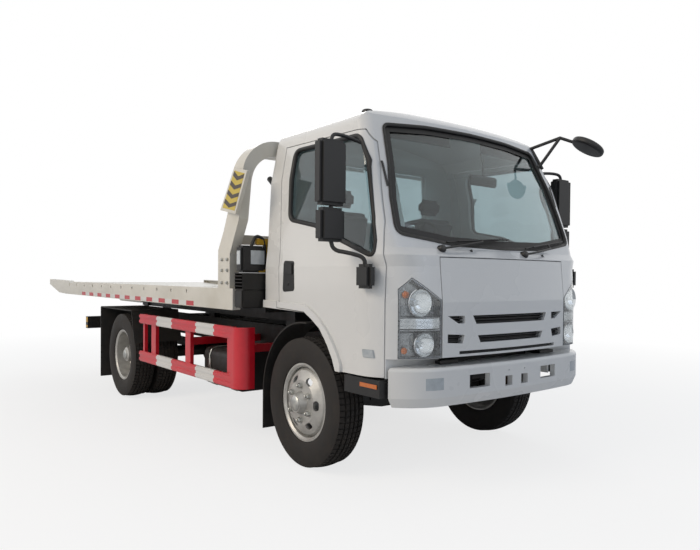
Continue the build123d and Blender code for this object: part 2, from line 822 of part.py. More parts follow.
with BuildPart() as dashboard:
    add(side_prism(dash_points, -dash_half_width, dash_half_width))
    add(
        slab(
            (dash_points[0][0], at(firewall_setback) - fit_gap),
            (-dash_core_half, dash_core_half),
            (dash_outline[0][1], dash_outline[1][1]),
        )
    )
dashboard.part.label = "dashboard"
export_step(dashboard.part, "parts/dashboard.step")

seat_y = 450.0
seat_half_width = 240.0
seat_outline = (  # setback, height
    (-230.0, arch_rear_z + cab_floor + fit_gap),
    (-250.0, 1340.0),
    (150.0, 1330.0),
    (215.0, 1960.0),
    (320.0, 1960.0),
    (270.0, 1260.0),
    (250.0, arch_rear_z + cab_floor + fit_gap),
)

with BuildPart() as seats:
    for side in sides:
        points = [(at(setback), z) for setback, z in seat_outline]
        add(side_prism(points, side * seat_y - seat_half_width, side * seat_y + seat_half_width))
seats.part.label = "seats"
export_step(seats.part, "parts/seats.step")

# Steering wheel on its column, in front of the right seat.
steer_centre_setback = -470.0
steer_centre_z = 1520.0
steer_tilt_deg = 55.0
steer_radius = 215.0
steer_grip = 15.0
steer_hub_radius = 70.0
column_radius = 30.0
column_length = 360.0  # before the dashboard trims it
steer_plane = Plane(
    origin=(at(steer_centre_setback), -seat_y, steer_centre_z),
    z_dir=(-cos(radians(steer_tilt_deg)), 0, sin(radians(steer_tilt_deg))),
)

with BuildPart() as steering_wheel:
    with BuildSketch(Plane(origin=steer_plane.origin, x_dir=steer_plane.x_dir, z_dir=steer_plane.y_dir)):
        with Locations((steer_radius, 0)):
            Circle(steer_grip)
    revolve(axis=Axis(steer_plane.origin, steer_plane.z_dir))
    with BuildSketch(steer_plane.offset(-steer_grip / 2)):
        Rectangle(2 * steer_radius, 2 * steer_grip)
        Circle(steer_hub_radius)
    extrude(amount=steer_grip)
    with BuildSketch(steer_plane):
        Circle(column_radius)
    extrude(amount=-column_length)
    with BuildSketch(Plane.XZ.offset(-dash_half_width)):
        with BuildLine():
            Polyline(*dash_points, close=True)
        make_face()
        offset(amount=fit_gap, kind=Kind.INTERSECTION, mode=Mode.REPLACE)
    extrude(amount=2 * dash_half_width, mode=Mode.SUBTRACT)
steering_wheel.part.label = "steering_wheel"
export_step(steering_wheel.part, "parts/steering_wheel.step")

# Wipers: two arms on the cowl with their blades across the windscreen's foot.
wiper_rows = ((-520.0, 60.0), (130.0, 700.0))  # y of pivot, y of the blade's far end
wiper_radius = 8.0
wiper_stand_off = 28.0
wiper_pivot_z = 1445.0
wiper_blade_z = 1530.0

with BuildPart() as wipers:
    for pivot_y, end_y in wiper_rows:
        mid_y = (pivot_y + end_y) / 2
        screen_lean = (at(cowl_line[0]) - at(header_line[0])) / (header_line[1] - cowl_line[1])
        points = []
        for y, z in ((pivot_y, wiper_pivot_z), (mid_y, wiper_blade_z), (end_y, wiper_blade_z)):
            bow = y * y / (2 * nose_bow)
            lean = max(0, z - cowl_line[1]) * screen_lean
            points.append((at(cowl_line[0]) + wiper_stand_off - bow - lean, y, z))
        add(tube(points, wiper_radius))
        with BuildSketch(Plane.YZ.offset(points[0][0] - 2 * wiper_stand_off)):
            with Locations((pivot_y, wiper_pivot_z)):
                Circle(2 * wiper_radius)
        extrude(amount=2 * wiper_stand_off)
    add(cab_outer, mode=Mode.SUBTRACT)
wipers.part.label = "wipers"
export_step(wipers.part, "parts/wipers.step")

# Roof marker: a small dark dome on the right of the roof.
marker_setback = -360.0
marker_y = -700.0
marker_radius = 38.0
marker_z = (2290.0, 2372.0)

with BuildPart() as roof_marker:
    with BuildSketch(Plane.XY.offset(marker_z[0])):
        with Locations((at(marker_setback), marker_y)):
            Circle(marker_radius)
    extrude(amount=marker_z[1] - marker_z[0])
    fillet(roof_marker.edges().group_by(Axis.Z)[-1], radius=marker_radius / 2)
    add(cab_outer, mode=Mode.SUBTRACT)
roof_marker.part.label = "roof_marker"
export_step(roof_marker.part, "parts/roof_marker.step")

# Air intake: a slim standing tube behind the cab's right corner, bent back at the top over its collar.
intake_setback = 530.0
intake_y = -870.0
intake_radius = 21.0
intake_z = (1340.0, 1960.0)
intake_bend = (600.0, 2010.0)  # setback, height of the mouth
intake_collar_radius = 34.0
intake_collar_z = (1700.0, 1735.0)
intake_stay_z = (1400.0, 1880.0)
intake_stay_half = 16.0

with BuildPart() as air_intake:
    path = [
        (at(intake_setback), intake_y, intake_z[0]),
        (at(intake_setback), intake_y, intake_z[1]),
        (at(intake_bend[0]), intake_y, intake_bend[1]),
    ]
    add(tube(path, intake_radius))
    with BuildSketch(Plane.XY.offset(intake_collar_z[0])):
        with Locations((at(intake_setback), intake_y)):
            Circle(intake_collar_radius)
    extrude(amount=intake_collar_z[1] - intake_collar_z[0])
    for stay_z in intake_stay_z:
        add(
            slab(
                (at(intake_setback), at(cab_rear_setback)),
                (intake_y - intake_stay_half, intake_y + intake_stay_half),
                (stay_z - intake_stay_half, stay_z + intake_stay_half),
            )
        )
air_intake.part.label = "air_intake"
export_step(air_intake.part, "parts/air_intake.step")

# Mirrors on the doors: an upper and a lower glass on arms from the door's corner and its housing.
mirror_y = (1030.0, 1220.0)
mirror_setback = -560.0
mirror_depth = 85.0
mirror_rows = ((1700.0, 2085.0), (1488.0, 1690.0))  # low and high
mirror_tube = 12.0
mirror_base_setbacks = (-800.0, -660.0)
mirror_base_z = (1215.0, 1365.0)
mirror_base_depth = 60.0
mirror_post_y = 1010.0
mirror_arm_top = (-540.0, 2120.0)
mirror_root_y = 820.0  # arms and bases start inside the door's skin and are trimmed by it

mirrors = {}
for side in sides:
    with BuildPart() as mirror:
        for mirror_z in mirror_rows:
            add(
                slab(
                    (at(mirror_setback) - mirror_depth / 2, at(mirror_setback) + mirror_depth / 2),
                    sorted((side * mirror_y[0], side * mirror_y[1])),
                    mirror_z,
                )
            )
        fillet(mirror.edges().filter_by(Axis.X), radius=mirror_depth / 3)
        post = [
            (at(mirror_arm_top[0]), side * mirror_root_y, mirror_arm_top[1]),
            (at(mirror_setback), side * mirror_post_y, mirror_rows[0][1] + mirror_tube),
            (at(mirror_setback), side * mirror_post_y, mirror_rows[1][0] - mirror_tube),
            (at(mirror_base_setbacks[1]) + 2 * mirror_tube, side * (cab_half_width + 2 * mirror_tube), mirror_base_z[0]),
        ]
        add(tube(post, mirror_tube))
        add(
            slab(
                (at(mirror_base_setbacks[1]), at(mirror_base_setbacks[0])),
                sorted((side * mirror_root_y, side * (cab_half_width + mirror_base_depth))),
                mirror_base_z,
            )
        )
        # short stays between the post and the housings
        for mirror_z in mirror_rows:
            middle = (mirror_z[0] + mirror_z[1]) / 2
            add(
                slab(
                    (at(mirror_setback) - mirror_tube, at(mirror_setback) + mirror_tube),
                    sorted((side * mirror_post_y, side * (mirror_y[0] + mirror_tube))),
                    (middle - mirror_tube, middle + mirror_tube),
                )
            )
        add(cab_outer, mode=Mode.SUBTRACT)
    mirrors[side] = mirror
mirrors[-1].part.label = "mirror_right"
export_step(mirrors[-1].part, "parts/mirror_right.step")
mirrors[1].part.label = "mirror_left"
export_step(mirrors[1].part, "parts/mirror_left.step")

# Front mirror: a tilted round dish on tubes from the cab's left front pillar, looking down at the bumper.
front_mirror_centre = (-905.0, 973.0, 2278.0)  # setback, y, z
front_mirror_lean = (0.30, 0.36, 0.88)  # the way its back faces
front_mirror_radius = 125.0
front_mirror_half_depth = 24.0
front_mirror_fork = (-720.0, 882.0, 2361.0)
front_mirror_roots = ((-500.0, 770.0, 2285.0), (-590.0, 785.0, 2130.0))

with BuildPart() as front_mirror:
    centre = Vector(at(front_mirror_centre[0]), front_mirror_centre[1], front_mirror_centre[2])
    fork = Vector(at(front_mirror_fork[0]), front_mirror_fork[1], front_mirror_fork[2])
    with BuildSketch(Plane(origin=centre, z_dir=front_mirror_lean)):
        Circle(front_mirror_radius)
    extrude(amount=front_mirror_half_depth, both=True)
    fillet(front_mirror.edges(), radius=front_mirror_half_depth * 0.8)
    for end in [centre] + [Vector(at(setback), y, z) for setback, y, z in front_mirror_roots]:
        with BuildSketch(Plane(origin=fork, z_dir=end - fork)):
            Circle(mirror_tube)
        extrude(amount=(end - fork).length)
    with Locations(Location(fork)):
        Sphere(mirror_tube)
    # a stay closes the triangle between the two roots
    stay = [(at(setback) + 2 * mirror_tube, y + 2 * mirror_tube, z) for setback, y, z in front_mirror_roots]
    add(tube(stay, mirror_tube))
    add(cab_outer, mode=Mode.SUBTRACT)
front_mirror.part.label = "front_mirror"
export_step(front_mirror.part, "parts/front_mirror.step")

# Bumper: a full-width pressing that wraps round the corners, with tow openings and plate holes.
bumper_half_width = 958.0
bumper_z = (530.0, 762.0)
bumper_bow = 6000.0
bumper_corner = 380.0
bumper_rear_setback = -835.0
bumper_sheet = 40.0
bumper_top_round = 22.0
bumper_bottom_bevel = (56.0, 24.0)  # up the face, under the edge
tow_hole_y = (252.0, 424.0)
tow_hole_z = (622.0, 704.0)
plate_slot_y = (44.0, 112.0)
plate_slot_z = (609.0, 672.0)
plate_hole_y = 78.0
plate_hole_z = 706.0
plate_hole_radius = 5.0
fog_y = (625.0, 738.0)
fog_z = (632.0, 702.0)
fog_depth = 60.0


def bumper_form(inset):
    """The bumper's outside, or the space behind it."""
    with BuildPart() as form:
        low = bumper_z[0] + (inset and -overrun)
        rear = at(bumper_rear_setback) - (inset and overrun)
        with BuildSketch(Plane.XY.offset(low)) as plan:
            with Locations(((at(-front_overhang) - inset) / 2, 0)):
                Rectangle(at(-front_overhang) - inset, 2 * (bumper_half_width - inset))
            with Locations((at(-front_overhang) - bumper_bow, 0)):
                Circle(bumper_bow - inset, mode=Mode.INTERSECT)
            fillet(plan.vertices().group_by(Axis.X)[-1], radius=bumper_corner - inset)
            with Locations((rear / 2, 0)):
                Rectangle(rear, 2 * bumper_half_width + overrun, mode=Mode.SUBTRACT)
        extrude(amount=bumper_z[1] - inset - low)
    return form.part


with BuildPart() as front_bumper:
    add(bumper_form(0))
    # the top's front edge is rolled and the bottom's is bevelled; the first edge of each is the rear one
    top_edges = front_bumper.faces().sort_by(Axis.Z)[-1].edges().sort_by(Axis.X)[1:]
    fillet(top_edges, radius=bumper_top_round)
    bottom_face = front_bumper.faces().sort_by(Axis.Z)[0]
    bottom_edges = bottom_face.edges().sort_by(Axis.X)[1:]
    chamfer(bottom_edges, length=bumper_bottom_bevel[1], length2=bumper_bottom_bevel[0], reference=bottom_face)
    add(bumper_form(bumper_sheet), mode=Mode.SUBTRACT)
    for points in both_sides(
        [
            (tow_hole_y[0], tow_hole_z[0]),
            (tow_hole_y[1], tow_hole_z[0]),
            (tow_hole_y[1], tow_hole_z[1]),
            (tow_hole_y[0], tow_hole_z[1]),
        ]
    ):
        add(front_prism(points, at(0), at(-front_overhang) + overrun), mode=Mode.SUBTRACT)
    for points in both_sides([(fog_y[0], fog_z[0]), (fog_y[1], fog_z[0]), (fog_y[1], fog_z[1]), (fog_y[0], fog_z[1])]):
        add(front_prism(points, at(0), at(-front_overhang) + overrun), mode=Mode.SUBTRACT)
    with BuildSketch(Plane.YZ.offset(at(0))):
        with Locations((-plate_hole_y, plate_hole_z), (plate_hole_y, plate_hole_z)):
            Circle(plate_hole_radius)
    extrude(amount=front_overhang + overrun, mode=Mode.SUBTRACT)
    # slots for the number plate's holder
    for points in both_sides(
        [
            (plate_slot_y[0], plate_slot_z[0]),
            (plate_slot_y[1], plate_slot_z[0]),
            (plate_slot_y[1], plate_slot_z[1]),
            (plate_slot_y[0], plate_slot_z[1]),
        ]
    ):
        add(front_prism(points, at(0), at(-front_overhang) + overrun), mode=Mode.SUBTRACT)
    # brackets from the rails' front ends
    for side in sides:
        add(
            slab(
                (at(rail_front_setback), at(-front_overhang) - bumper_sheet - 2 * rail_sheet),
                sorted((side * (rail_y - rail_sheet), side * rail_y)),
                (rail_bottom, bumper_z[1] - bumper_sheet + rail_sheet),
            )
        )
front_bumper.part.label = "front_bumper"
export_step(front_bumper.part, "parts/front_bumper.step")

with BuildPart() as fog_lamps:
    for points in both_sides(
        [
            (fog_y[0] + fit_gap, fog_z[0] + fit_gap),
            (fog_y[1] - fit_gap, fog_z[0] + fit_gap),
            (fog_y[1] - fit_gap, fog_z[1] - fit_gap),
            (fog_y[0] + fit_gap, fog_z[1] - fit_gap),
        ]
    ):
        add(front_prism(points, at(-front_overhang) - 3 * fog_depth, at(-front_overhang) + overrun))
    add(bumper_form(0), mode=Mode.INTERSECT)
fog_lamps.part.label = "fog_lamps"
export_step(fog_lamps.part, "parts/fog_lamps.step")

# Steps under the doors: black boxes hung from the rails by arms.
step_setbacks = (-815.0, -475.0)
step_y = (770.0, 950.0)
step_z = (585.0, 688.0)
step_arm_width = 50.0
step_arm_setbacks = (-760.0, -600.0)

with BuildPart() as door_steps:
    for side in sides:
        add(
            slab(
                (at(step_setbacks[1]), at(step_setbacks[0])),
                sorted((side * step_y[0], side * step_y[1])),
                step_z,
            )
        )
        for arm_setback in step_arm_setbacks:
            add(
                slab(
                    (at(arm_setback) - step_arm_width / 2, at(arm_setback) + step_arm_width / 2),
                    sorted((side * (rail_y + fit_gap), side * step_y[0])),
                    (rail_bottom, step_z[1]),
                )
            )
door_steps.part.label = "door_steps"
export_step(door_steps.part, "parts/door_steps.step")

# Front mudguards: an arched sheet over the rear half of each front wheel, running down into a flap.
flap_sheet = 10.0
flap_radius = 540.0  # about the axle, to the sheet's back
flap_y = (720.0, 950.0)
flap_bottom_z = 175.0
flap_front_setback = -40.0
flap_stay_setback = 455.0
flap_stay_z = (716.0, 792.0)
flap_stay_y = 745.0

with BuildPart() as front_mudguards:
    for side in sides:
        low, high = sorted((side * flap_y[0], side * flap_y[1]))
        with BuildSketch(Plane.XZ.offset(-low)):
            with Locations((front_axle_x, tyre_radius)):
                Circle(flap_radius)
                Circle(flap_radius - flap_sheet, mode=Mode.SUBTRACT)
            with Locations((at(flap_front_setback) - flap_radius, tyre_radius + flap_radius)):
                Rectangle(2 * flap_radius, 2 * flap_radius, mode=Mode.INTERSECT)
            with Locations((at(flap_radius) + flap_sheet / 2, (tyre_radius + flap_bottom_z) / 2)):
                Rectangle(flap_sheet, tyre_radius - flap_bottom_z + flap_sheet)
        extrude(amount=low - high)
        # the stay to the rail
        add(
            slab(
                (at(flap_stay_setback) - flap_sheet, at(flap_stay_setback) + flap_sheet),
                sorted((side * (rail_y + fit_gap), side * flap_stay_y)),
                flap_stay_z,
            )
        )
front_mudguards.part.label = "front_mudguards"
export_step(front_mudguards.part, "parts/front_mudguards.step")

# Knuckles: a yoke round each kingpin eye with the stub axle, the steering arm and the tie rod's lug.
yoke_plate = 30.0
yoke_radius = 42.0
yoke_back_y = 790.0
yoke_back = 24.0
stub_radius = 30.0
stub_end_y = 930.0
hub_gap = 0.8

knuckles = {}
for side in sides:
    with BuildPart() as knuckle:
        half = kingpin_eye_height / 2 + kingpin_gap
        for low in (tyre_radius + half, tyre_radius - half - yoke_plate):
            with BuildSketch(Plane.XY.offset(low)):
                with Locations((front_axle_x, side * kingpin_y)):
                    Circle(yoke_radius)
                with Locations((front_axle_x, side * (kingpin_y + yoke_back_y) / 2)):
                    Rectangle(2 * yoke_radius, yoke_back_y - kingpin_y)
            extrude(amount=yoke_plate)
        add(
            slab(
                (front_axle_x - yoke_radius, front_axle_x + yoke_radius),
                sorted((side * yoke_back_y, side * (yoke_back_y + yoke_back))),
                (tyre_radius - half - yoke_plate, tyre_radius + half + yoke_plate),
            )
        )
        with BuildSketch(Plane.XZ.offset(-side * yoke_back_y)):
            with Locations((front_axle_x, tyre_radius)):
                Circle(stub_radius)
        extrude(amount=-side * (stub_end_y - yoke_back_y))
    knuckles[side] = knuckle
knuckles[-1].part.label = "knuckle_right"
export_step(knuckles[-1].part, "parts/knuckle_right.step")
knuckles[1].part.label = "knuckle_left"
export_step(knuckles[1].part, "parts/knuckle_left.step")

# Wheels. Outlines are (outward from the tyre's middle, radius) pairs turned about the axle.
bead_half = tyre_width / 2 - 29.5
seat_radius = rim_radius - 13.0
shoulder_half = tyre_width / 2 - 15.0
shoulder_radius = tyre_radius - 15.0
widest_radius = (tyre_radius + seat_radius) / 2
rim_sheet = 12.0


def wheel_plane(x, y, side):
    """A plane through the axle whose first direction points outward and second one up."""
    return Plane(origin=(x, y, tyre_radius), x_dir=(0, side, 0), z_dir=(side, 0, 0))


def tyre_at(x, y, side):
    """A tyre: bead, bulged walls, rounded shoulders and a slightly crowned tread."""
    with BuildPart() as tyre:
        with BuildSketch(wheel_plane(x, y, side)):
            with BuildLine():
                bead = bead_half - fit_gap
                Polyline(
                    (-bead, rim_radius + fit_gap),
                    (-bead, seat_radius + fit_gap),
                    (bead, seat_radius + fit_gap),
                    (bead, rim_radius + fit_gap),
                )
                ThreePointArc(
                    (bead, rim_radius + fit_gap), (tyre_width / 2, widest_radius), (shoulder_half, shoulder_radius)
                )
                ThreePointArc(
                    (shoulder_half, shoulder_radius), (0, tyre_radius), (-shoulder_half, shoulder_radius)
                )
                ThreePointArc(
                    (-shoulder_half, shoulder_radius), (-tyre_width / 2, widest_radius), (-bead, rim_radius + fit_gap)
                )
            make_face()
        revolve(axis=Axis((x, y, tyre_radius), (0, 1, 0)))
    return tyre.part


hand_hole_count = 6
hand_hole_radius = 168.0
hand_hole_width = 40.0
hand_hole_length = 66.0
flange_half = 85.0


def rim_at(x, y, side, outline, hole_reach):
    """A steel wheel turned from its outline, with hand holes through the disc."""
    with BuildPart() as rim:
        with BuildSketch(wheel_plane(x, y, side)):
            with BuildLine():
                Polyline(*outline, close=True)
            make_face()
        revolve(axis=Axis((x, y, tyre_radius), (0, 1, 0)))
        hole_plane = Plane(origin=(x, y + side * hole_reach[0], tyre_radius), x_dir=(1, 0, 0), z_dir=(0, side, 0))
        with BuildSketch(hole_plane):
            with PolarLocations(hand_hole_radius, hand_hole_count):
                SlotOverall(hand_hole_length, hand_hole_width, rotation=90)
        extrude(amount=hole_reach[1] - hole_reach[0], mode=Mode.SUBTRACT)
    return rim.part


barrel_outline = [
    (flange_half - rim_sheet, seat_radius - rim_sheet),
    (flange_half, rim_radius - rim_sheet),
    (flange_half, rim_radius),
    (bead_half, rim_radius),
    (bead_half, seat_radius),
    (-bead_half, seat_radius),
    (-bead_half, rim_radius),
    (-flange_half, rim_radius),
    (-flange_half, rim_radius - rim_sheet),
    (-flange_half + rim_sheet, seat_radius - rim_sheet),
]
hub_radius = stub_radius + hub_gap
stub_reach = stub_end_y + hub_gap - front_wheel_y
disc_edge = seat_radius - rim_sheet
front_disc = [  # the disc swells outward past the flange, round the hub; its back first, then its face
    (28.0, disc_edge),
    (60.0, 205.0),
    (88.0, 150.0),
    (92.0, 105.0),
    (72.0, 62.0),
    (-20.0, 62.0),
    (-20.0, hub_radius),
    (stub_reach, hub_radius),
    (stub_reach, 0.0),
    (152.0, 0.0),
    (152.0, 60.0),
    (108.0, 78.0),
    (106.0, 152.0),
    (74.0, 215.0),
    (44.0, disc_edge),
]
twin_face = (twin_spacing - fit_gap) / 2
axle_bore = axle_end_radius + hub_gap
axle_reach = axle_tube_y + hub_gap - rear_wheel_y
disc_back = [(-100.0, 205.0), (-twin_face, 160.0), (-twin_face, axle_bore)]
disc_front = [(-108.0, 158.0), (-88.0, 208.0), (-58.0, disc_edge)]
rear_hub = [  # the hub stands in the outer disc's dish and closes over the axle's end
    (axle_reach, axle_bore),
    (axle_reach, 0.0),
    (62.0, 0.0),
    (62.0, 50.0),
    (50.0, 75.0),
    (-85.0, 85.0),
    (-108.0, 105.0),
]
outer_disc = disc_back + rear_hub + disc_front
inner_disc = disc_back + [(-108.0, axle_bore)] + disc_front

wheels = {}
for side in sides:
    with BuildPart() as front_tyre:
        add(tyre_at(front_axle_x, side * front_wheel_y, side))
    with BuildPart() as front_rim:
        outline = [barrel_outline[-1]] + front_disc + barrel_outline[:-1]
        add(rim_at(front_axle_x, side * front_wheel_y, side, outline, (20.0, 130.0)))
    with BuildPart() as rear_tyres:
        for step in (0, 1):
            add(tyre_at(rear_axle_x, side * (rear_wheel_y - step * twin_spacing), side))
    with BuildPart() as rear_rims:
        outline = [barrel_outline[-1]] + outer_disc + barrel_outline[:-1]
        add(rim_at(rear_axle_x, side * rear_wheel_y, side, outline, (-150.0, -40.0)))
        # the inner twin is the same wheel turned round, with no hub
        outline = [barrel_outline[-1]] + inner_disc + barrel_outline[:-1]
        add(rim_at(rear_axle_x, side * (rear_wheel_y - twin_spacing), -side, outline, (-150.0, -40.0)))
    wheels[side] = (front_tyre, front_rim, rear_tyres, rear_rims)
for side in sides:
    names = ("tyre_front_", "rim_front_", "tyres_rear_", "rims_rear_")
    for piece, name in zip(wheels[side], names):
        piece.part.label = name + side_names[side]
        export_step(piece.part, "parts/" + name + side_names[side] + ".step")

# Rear mudguards: flat-topped guards over the twins with flaps behind.
guard_y = (600.0, 1085.0)
guard_sheet = 12.0
guard_top_z = 921.0
guard_rear = wheelbase + 555.0
guard_knee = wheelbase - 365.0
guard_leg = (wheelbase - 460.0, 600.0)
guard_outline = (  # setback, height: the outside, then back along the inside
    (guard_rear, guard_top_z + guard_sheet / 2),
    (guard_knee, guard_top_z + guard_sheet / 2),
    guard_leg,
    (guard_leg[0] + guard_sheet, guard_leg[1]),
    (guard_knee + guard_sheet / 2, guard_top_z - guard_sheet / 2),
    (guard_rear, guard_top_z - guard_sheet / 2),
)
guard_bracket_z = (700.0, 740.0)
rear_flap_z = (135.0, guard_top_z)
rear_flap_setback = wheelbase + 655.0

with BuildPart() as rear_mudguards:
    for side in sides:
        low, high = sorted((side * guard_y[0], side * guard_y[1]))
        add(side_prism([(at(setback), z) for setback, z in guard_outline], low, high))
        add(
            slab(
                (at(rear_flap_setback) - guard_sheet, at(rear_flap_setback)),
                sorted((side * guard_y[0], side * guard_y[1])),
                rear_flap_z,
            )
        )
        add(
            slab(
                (at(rear_flap_setback), at(guard_rear)),
                sorted((side * guard_y[0], side * guard_y[1])),
                (guard_top_z - guard_sheet / 2, guard_top_z + guard_sheet / 2),
            )
        )
        # the bracket to the rail
        add(
            slab(
                (at(rear_flap_setback) - guard_sheet, at(rear_flap_setback)),
                sorted((side * (rail_y + fit_gap), side * guard_y[0])),
                guard_bracket_z,
            )
        )
rear_mudguards.part.label = "rear_mudguards"
export_step(rear_mudguards.part, "parts/rear_mudguards.step")

# Side guards: two striped, ribbed rails on channel posts between the wheels, with a rounded panel at the front.
guard_rail_y = 1113.0
guard_rail_thickness = 30.0
guard_rib = 8.0
guard_rib_shares = ((0.10, 0.36), (0.64, 0.90))  # of a rail's height
guard_setbacks = (742.0, 2690.0)
guard_rail_z = ((452.0, 550.0), (817.0, 906.0))
post_setbacks = ((760.0, 850.0), (1534.0, 1640.0), (2330.0, 2440.0), (2620.0, 2660.0))
post_sheet = 6.0
post_arm_z = (700.0, 760.0)
nose_panel_setback = 600.0
nose_panel_sheet = 14.0
nose_panel_round = 90.0
nose_panel_end_y = 985.0

with BuildPart() as side_guards:
    for side in sides:
        face_y = guard_rail_y - guard_rib
        inner_y = guard_rail_y - guard_rail_thickness
        for rail_z in guard_rail_z:
            add(slab((at(guard_setbacks[1]), at(guard_setbacks[0])), sorted((side * face_y, side * inner_y)), rail_z))
            for low_share, high_share in guard_rib_shares:
                height = rail_z[1] - rail_z[0]
                add(
                    slab(
                        (at(guard_setbacks[1]), at(guard_setbacks[0])),
                        sorted((side * guard_rail_y, side * face_y)),
                        (rail_z[0] + low_share * height, rail_z[0] + high_share * height),
                    )
                )
        # channel posts, open towards the truck's middle
        for front, rear in post_setbacks:
            with BuildSketch(Plane.XY.offset(guard_rail_z[0][0])):
                with Locations((at((front + rear) / 2), side * (inner_y - guard_rail_thickness / 2))):
                    Rectangle(rear - front, guard_rail_thickness)
                with Locations((at((front + rear) / 2), side * (inner_y - guard_rail_thickness / 2 - post_sheet))):
                    Rectangle(rear - front - 2 * post_sheet, guard_rail_thickness, mode=Mode.SUBTRACT)
            extrude(amount=guard_rail_z[1][1] - guard_rail_z[0][0])
        for front, rear in post_setbacks[:2]:
            middle = (front + rear) / 2
            add(
                slab(
                    (at(middle) - guard_rail_thickness, at(middle) + guard_rail_thickness),
                    sorted((side * (inner_y - post_sheet), side * (rail_y + fit_gap))),
                    post_arm_z,
                )
            )
        # the front panel, rolled inward at its front edge
        with BuildSketch(Plane.XY.offset(guard_rail_z[0][0])):
            with BuildLine():
                turn = nose_panel_round * (1 - cos(radians(45)))
                thin = nose_panel_round - nose_panel_sheet
                thin_turn = nose_panel_sheet + thin * (1 - cos(radians(45)))
                front_x = at(nose_panel_setback)
                out_y = guard_rail_y
                Line((at(guard_setbacks[0]), side * out_y), (front_x - nose_panel_round, side * out_y))
                ThreePointArc(
                    (front_x - nose_panel_round, side * out_y),
                    (front_x - turn, side * (out_y - turn)),
                    (front_x, side * (out_y - nose_panel_round)),
                )
                Polyline(
                    (front_x, side * (out_y - nose_panel_round)),
                    (front_x, side * nose_panel_end_y),
                    (front_x - nose_panel_sheet, side * nose_panel_end_y),
                    (front_x - nose_panel_sheet, side * (out_y - nose_panel_round)),
                )
                ThreePointArc(
                    (front_x - nose_panel_sheet, side * (out_y - nose_panel_round)),
                    (front_x - thin_turn, side * (out_y - thin_turn)),
                    (front_x - nose_panel_round, side * (out_y - nose_panel_sheet)),
                )
                Polyline(
                    (front_x - nose_panel_round, side * (out_y - nose_panel_sheet)),
                    (at(guard_setbacks[0]), side * (out_y - nose_panel_sheet)),
                    (at(guard_setbacks[0]), side * out_y),
                )
            make_face()
        extrude(amount=guard_rail_z[1][1] - guard_rail_z[0][0])
side_guards.part.label = "side_guards"
export_step(side_guards.part, "parts/side_guards.step")

# Fuel tank on the right and tool box on the left, strapped to the rails between the guard's arms.
tank_setbacks = (900.0, 1480.0)
tank_y = (rail_y + fit_gap, 980.0)
tank_z = (380.0, 690.0)
tank_corner = 60.0

with BuildPart() as fuel_tank:
    add(slab((at(tank_setbacks[1]), at(tank_setbacks[0])), (-tank_y[1], -tank_y[0]), tank_z))
    fillet(fuel_tank.edges().filter_by(Axis.X), radius=tank_corner)
    add(
        slab(
            (at(tank_setbacks[1]), at(tank_setbacks[0])),
            (-tank_y[0] - rail_sheet, -tank_y[0]),
            (tank_z[1] - 2 * tank_corner, rail_top - rail_sheet),
        )
    )
fuel_tank.part.label = "fuel_tank"
export_step(fuel_tank.part, "parts/fuel_tank.step")

box_setbacks = (900.0, 1480.0)
box_z = (400.0, 690.0)

with BuildPart() as tool_box:
    add(slab((at(box_setbacks[1]), at(box_setbacks[0])), tank_y, box_z))
    add(
        slab(
            (at(box_setbacks[1]), at(box_setbacks[0])),
            (tank_y[0], tank_y[0] + rail_sheet),
            (box_z[1], rail_top - rail_sheet),
        )
    )
tool_box.part.label = "tool_box"
export_step(tool_box.part, "parts/tool_box.step")

# Silencer under the left rail.
silencer_setbacks = (1750.0, 2350.0)
silencer_radius = 120.0
silencer_y = rail_y + silencer_radius + fit_gap
silencer_z = 560.0

with BuildPart() as silencer:
    with BuildSketch(Plane.YZ.offset(at(silencer_setbacks[1]))):
        with Locations((silencer_y, silencer_z)):
            Circle(silencer_radius)
    extrude(amount=silencer_setbacks[1] - silencer_setbacks[0])
    add(
        slab(
            (at(silencer_setbacks[1]), at(silencer_setbacks[0])),
            (rail_y + fit_gap, rail_y + fit_gap + rail_sheet),
            (silencer_z, rail_top - rail_sheet),
        )
    )
silencer.part.label = "silencer"
export_step(silencer.part, "parts/silencer.step")

# Boxes behind the cab, on the rails ahead of the bed: a base, a wide oil tank over it and a step on the right.
catwalk_setbacks = (505.0, 630.0)
catwalk_boxes = (  # low and high y, low and high z
    (-700.0, 700.0, rail_top + fit_gap, 1020.0),
    (-952.0, 952.0, 1020.0, 1186.0),
)
catwalk_step_y = (-950.0, -560.0)
catwalk_step_z = (1186.0, 1306.0)
catwalk_step_sheet = 5.0
step_hole_radius = 11.0
step_hole_pitch = 36.0
step_hole_rows = ((1282.0, 10), (1247.0, 10), (1212.0, 10))  # height, how many

with BuildPart() as catwalk_box:
    for y_low, y_high, z_low, z_high in catwalk_boxes:
        add(slab((at(catwalk_setbacks[1]), at(catwalk_setbacks[0])), (y_low, y_high), (z_low, z_high)))
    # the step is a folded sheet with a punched front
    add(slab((at(catwalk_setbacks[1]), at(catwalk_setbacks[0])), catwalk_step_y, catwalk_step_z))
    add(
        slab(
            (at(catwalk_setbacks[1]) - catwalk_step_sheet, at(catwalk_setbacks[0]) - catwalk_step_sheet),
            (catwalk_step_y[0] + catwalk_step_sheet, catwalk_step_y[1] - catwalk_step_sheet),
            (catwalk_step_z[0], catwalk_step_z[1] - catwalk_step_sheet),
        ),
        mode=Mode.SUBTRACT,
    )
    with BuildSketch(Plane.YZ.offset(at(catwalk_setbacks[0]) - 2 * catwalk_step_sheet)):
        for height, count in step_hole_rows:
            with Locations(
                [(catwalk_step_y[0] + step_hole_pitch * (number + 1 / 2), height) for number in range(count)]
            ):
                Circle(step_hole_radius)
    extrude(amount=2 * catwalk_step_sheet, mode=Mode.SUBTRACT)
catwalk_box.part.label = "catwalk_box"
export_step(catwalk_box.part, "parts/catwalk_box.step")

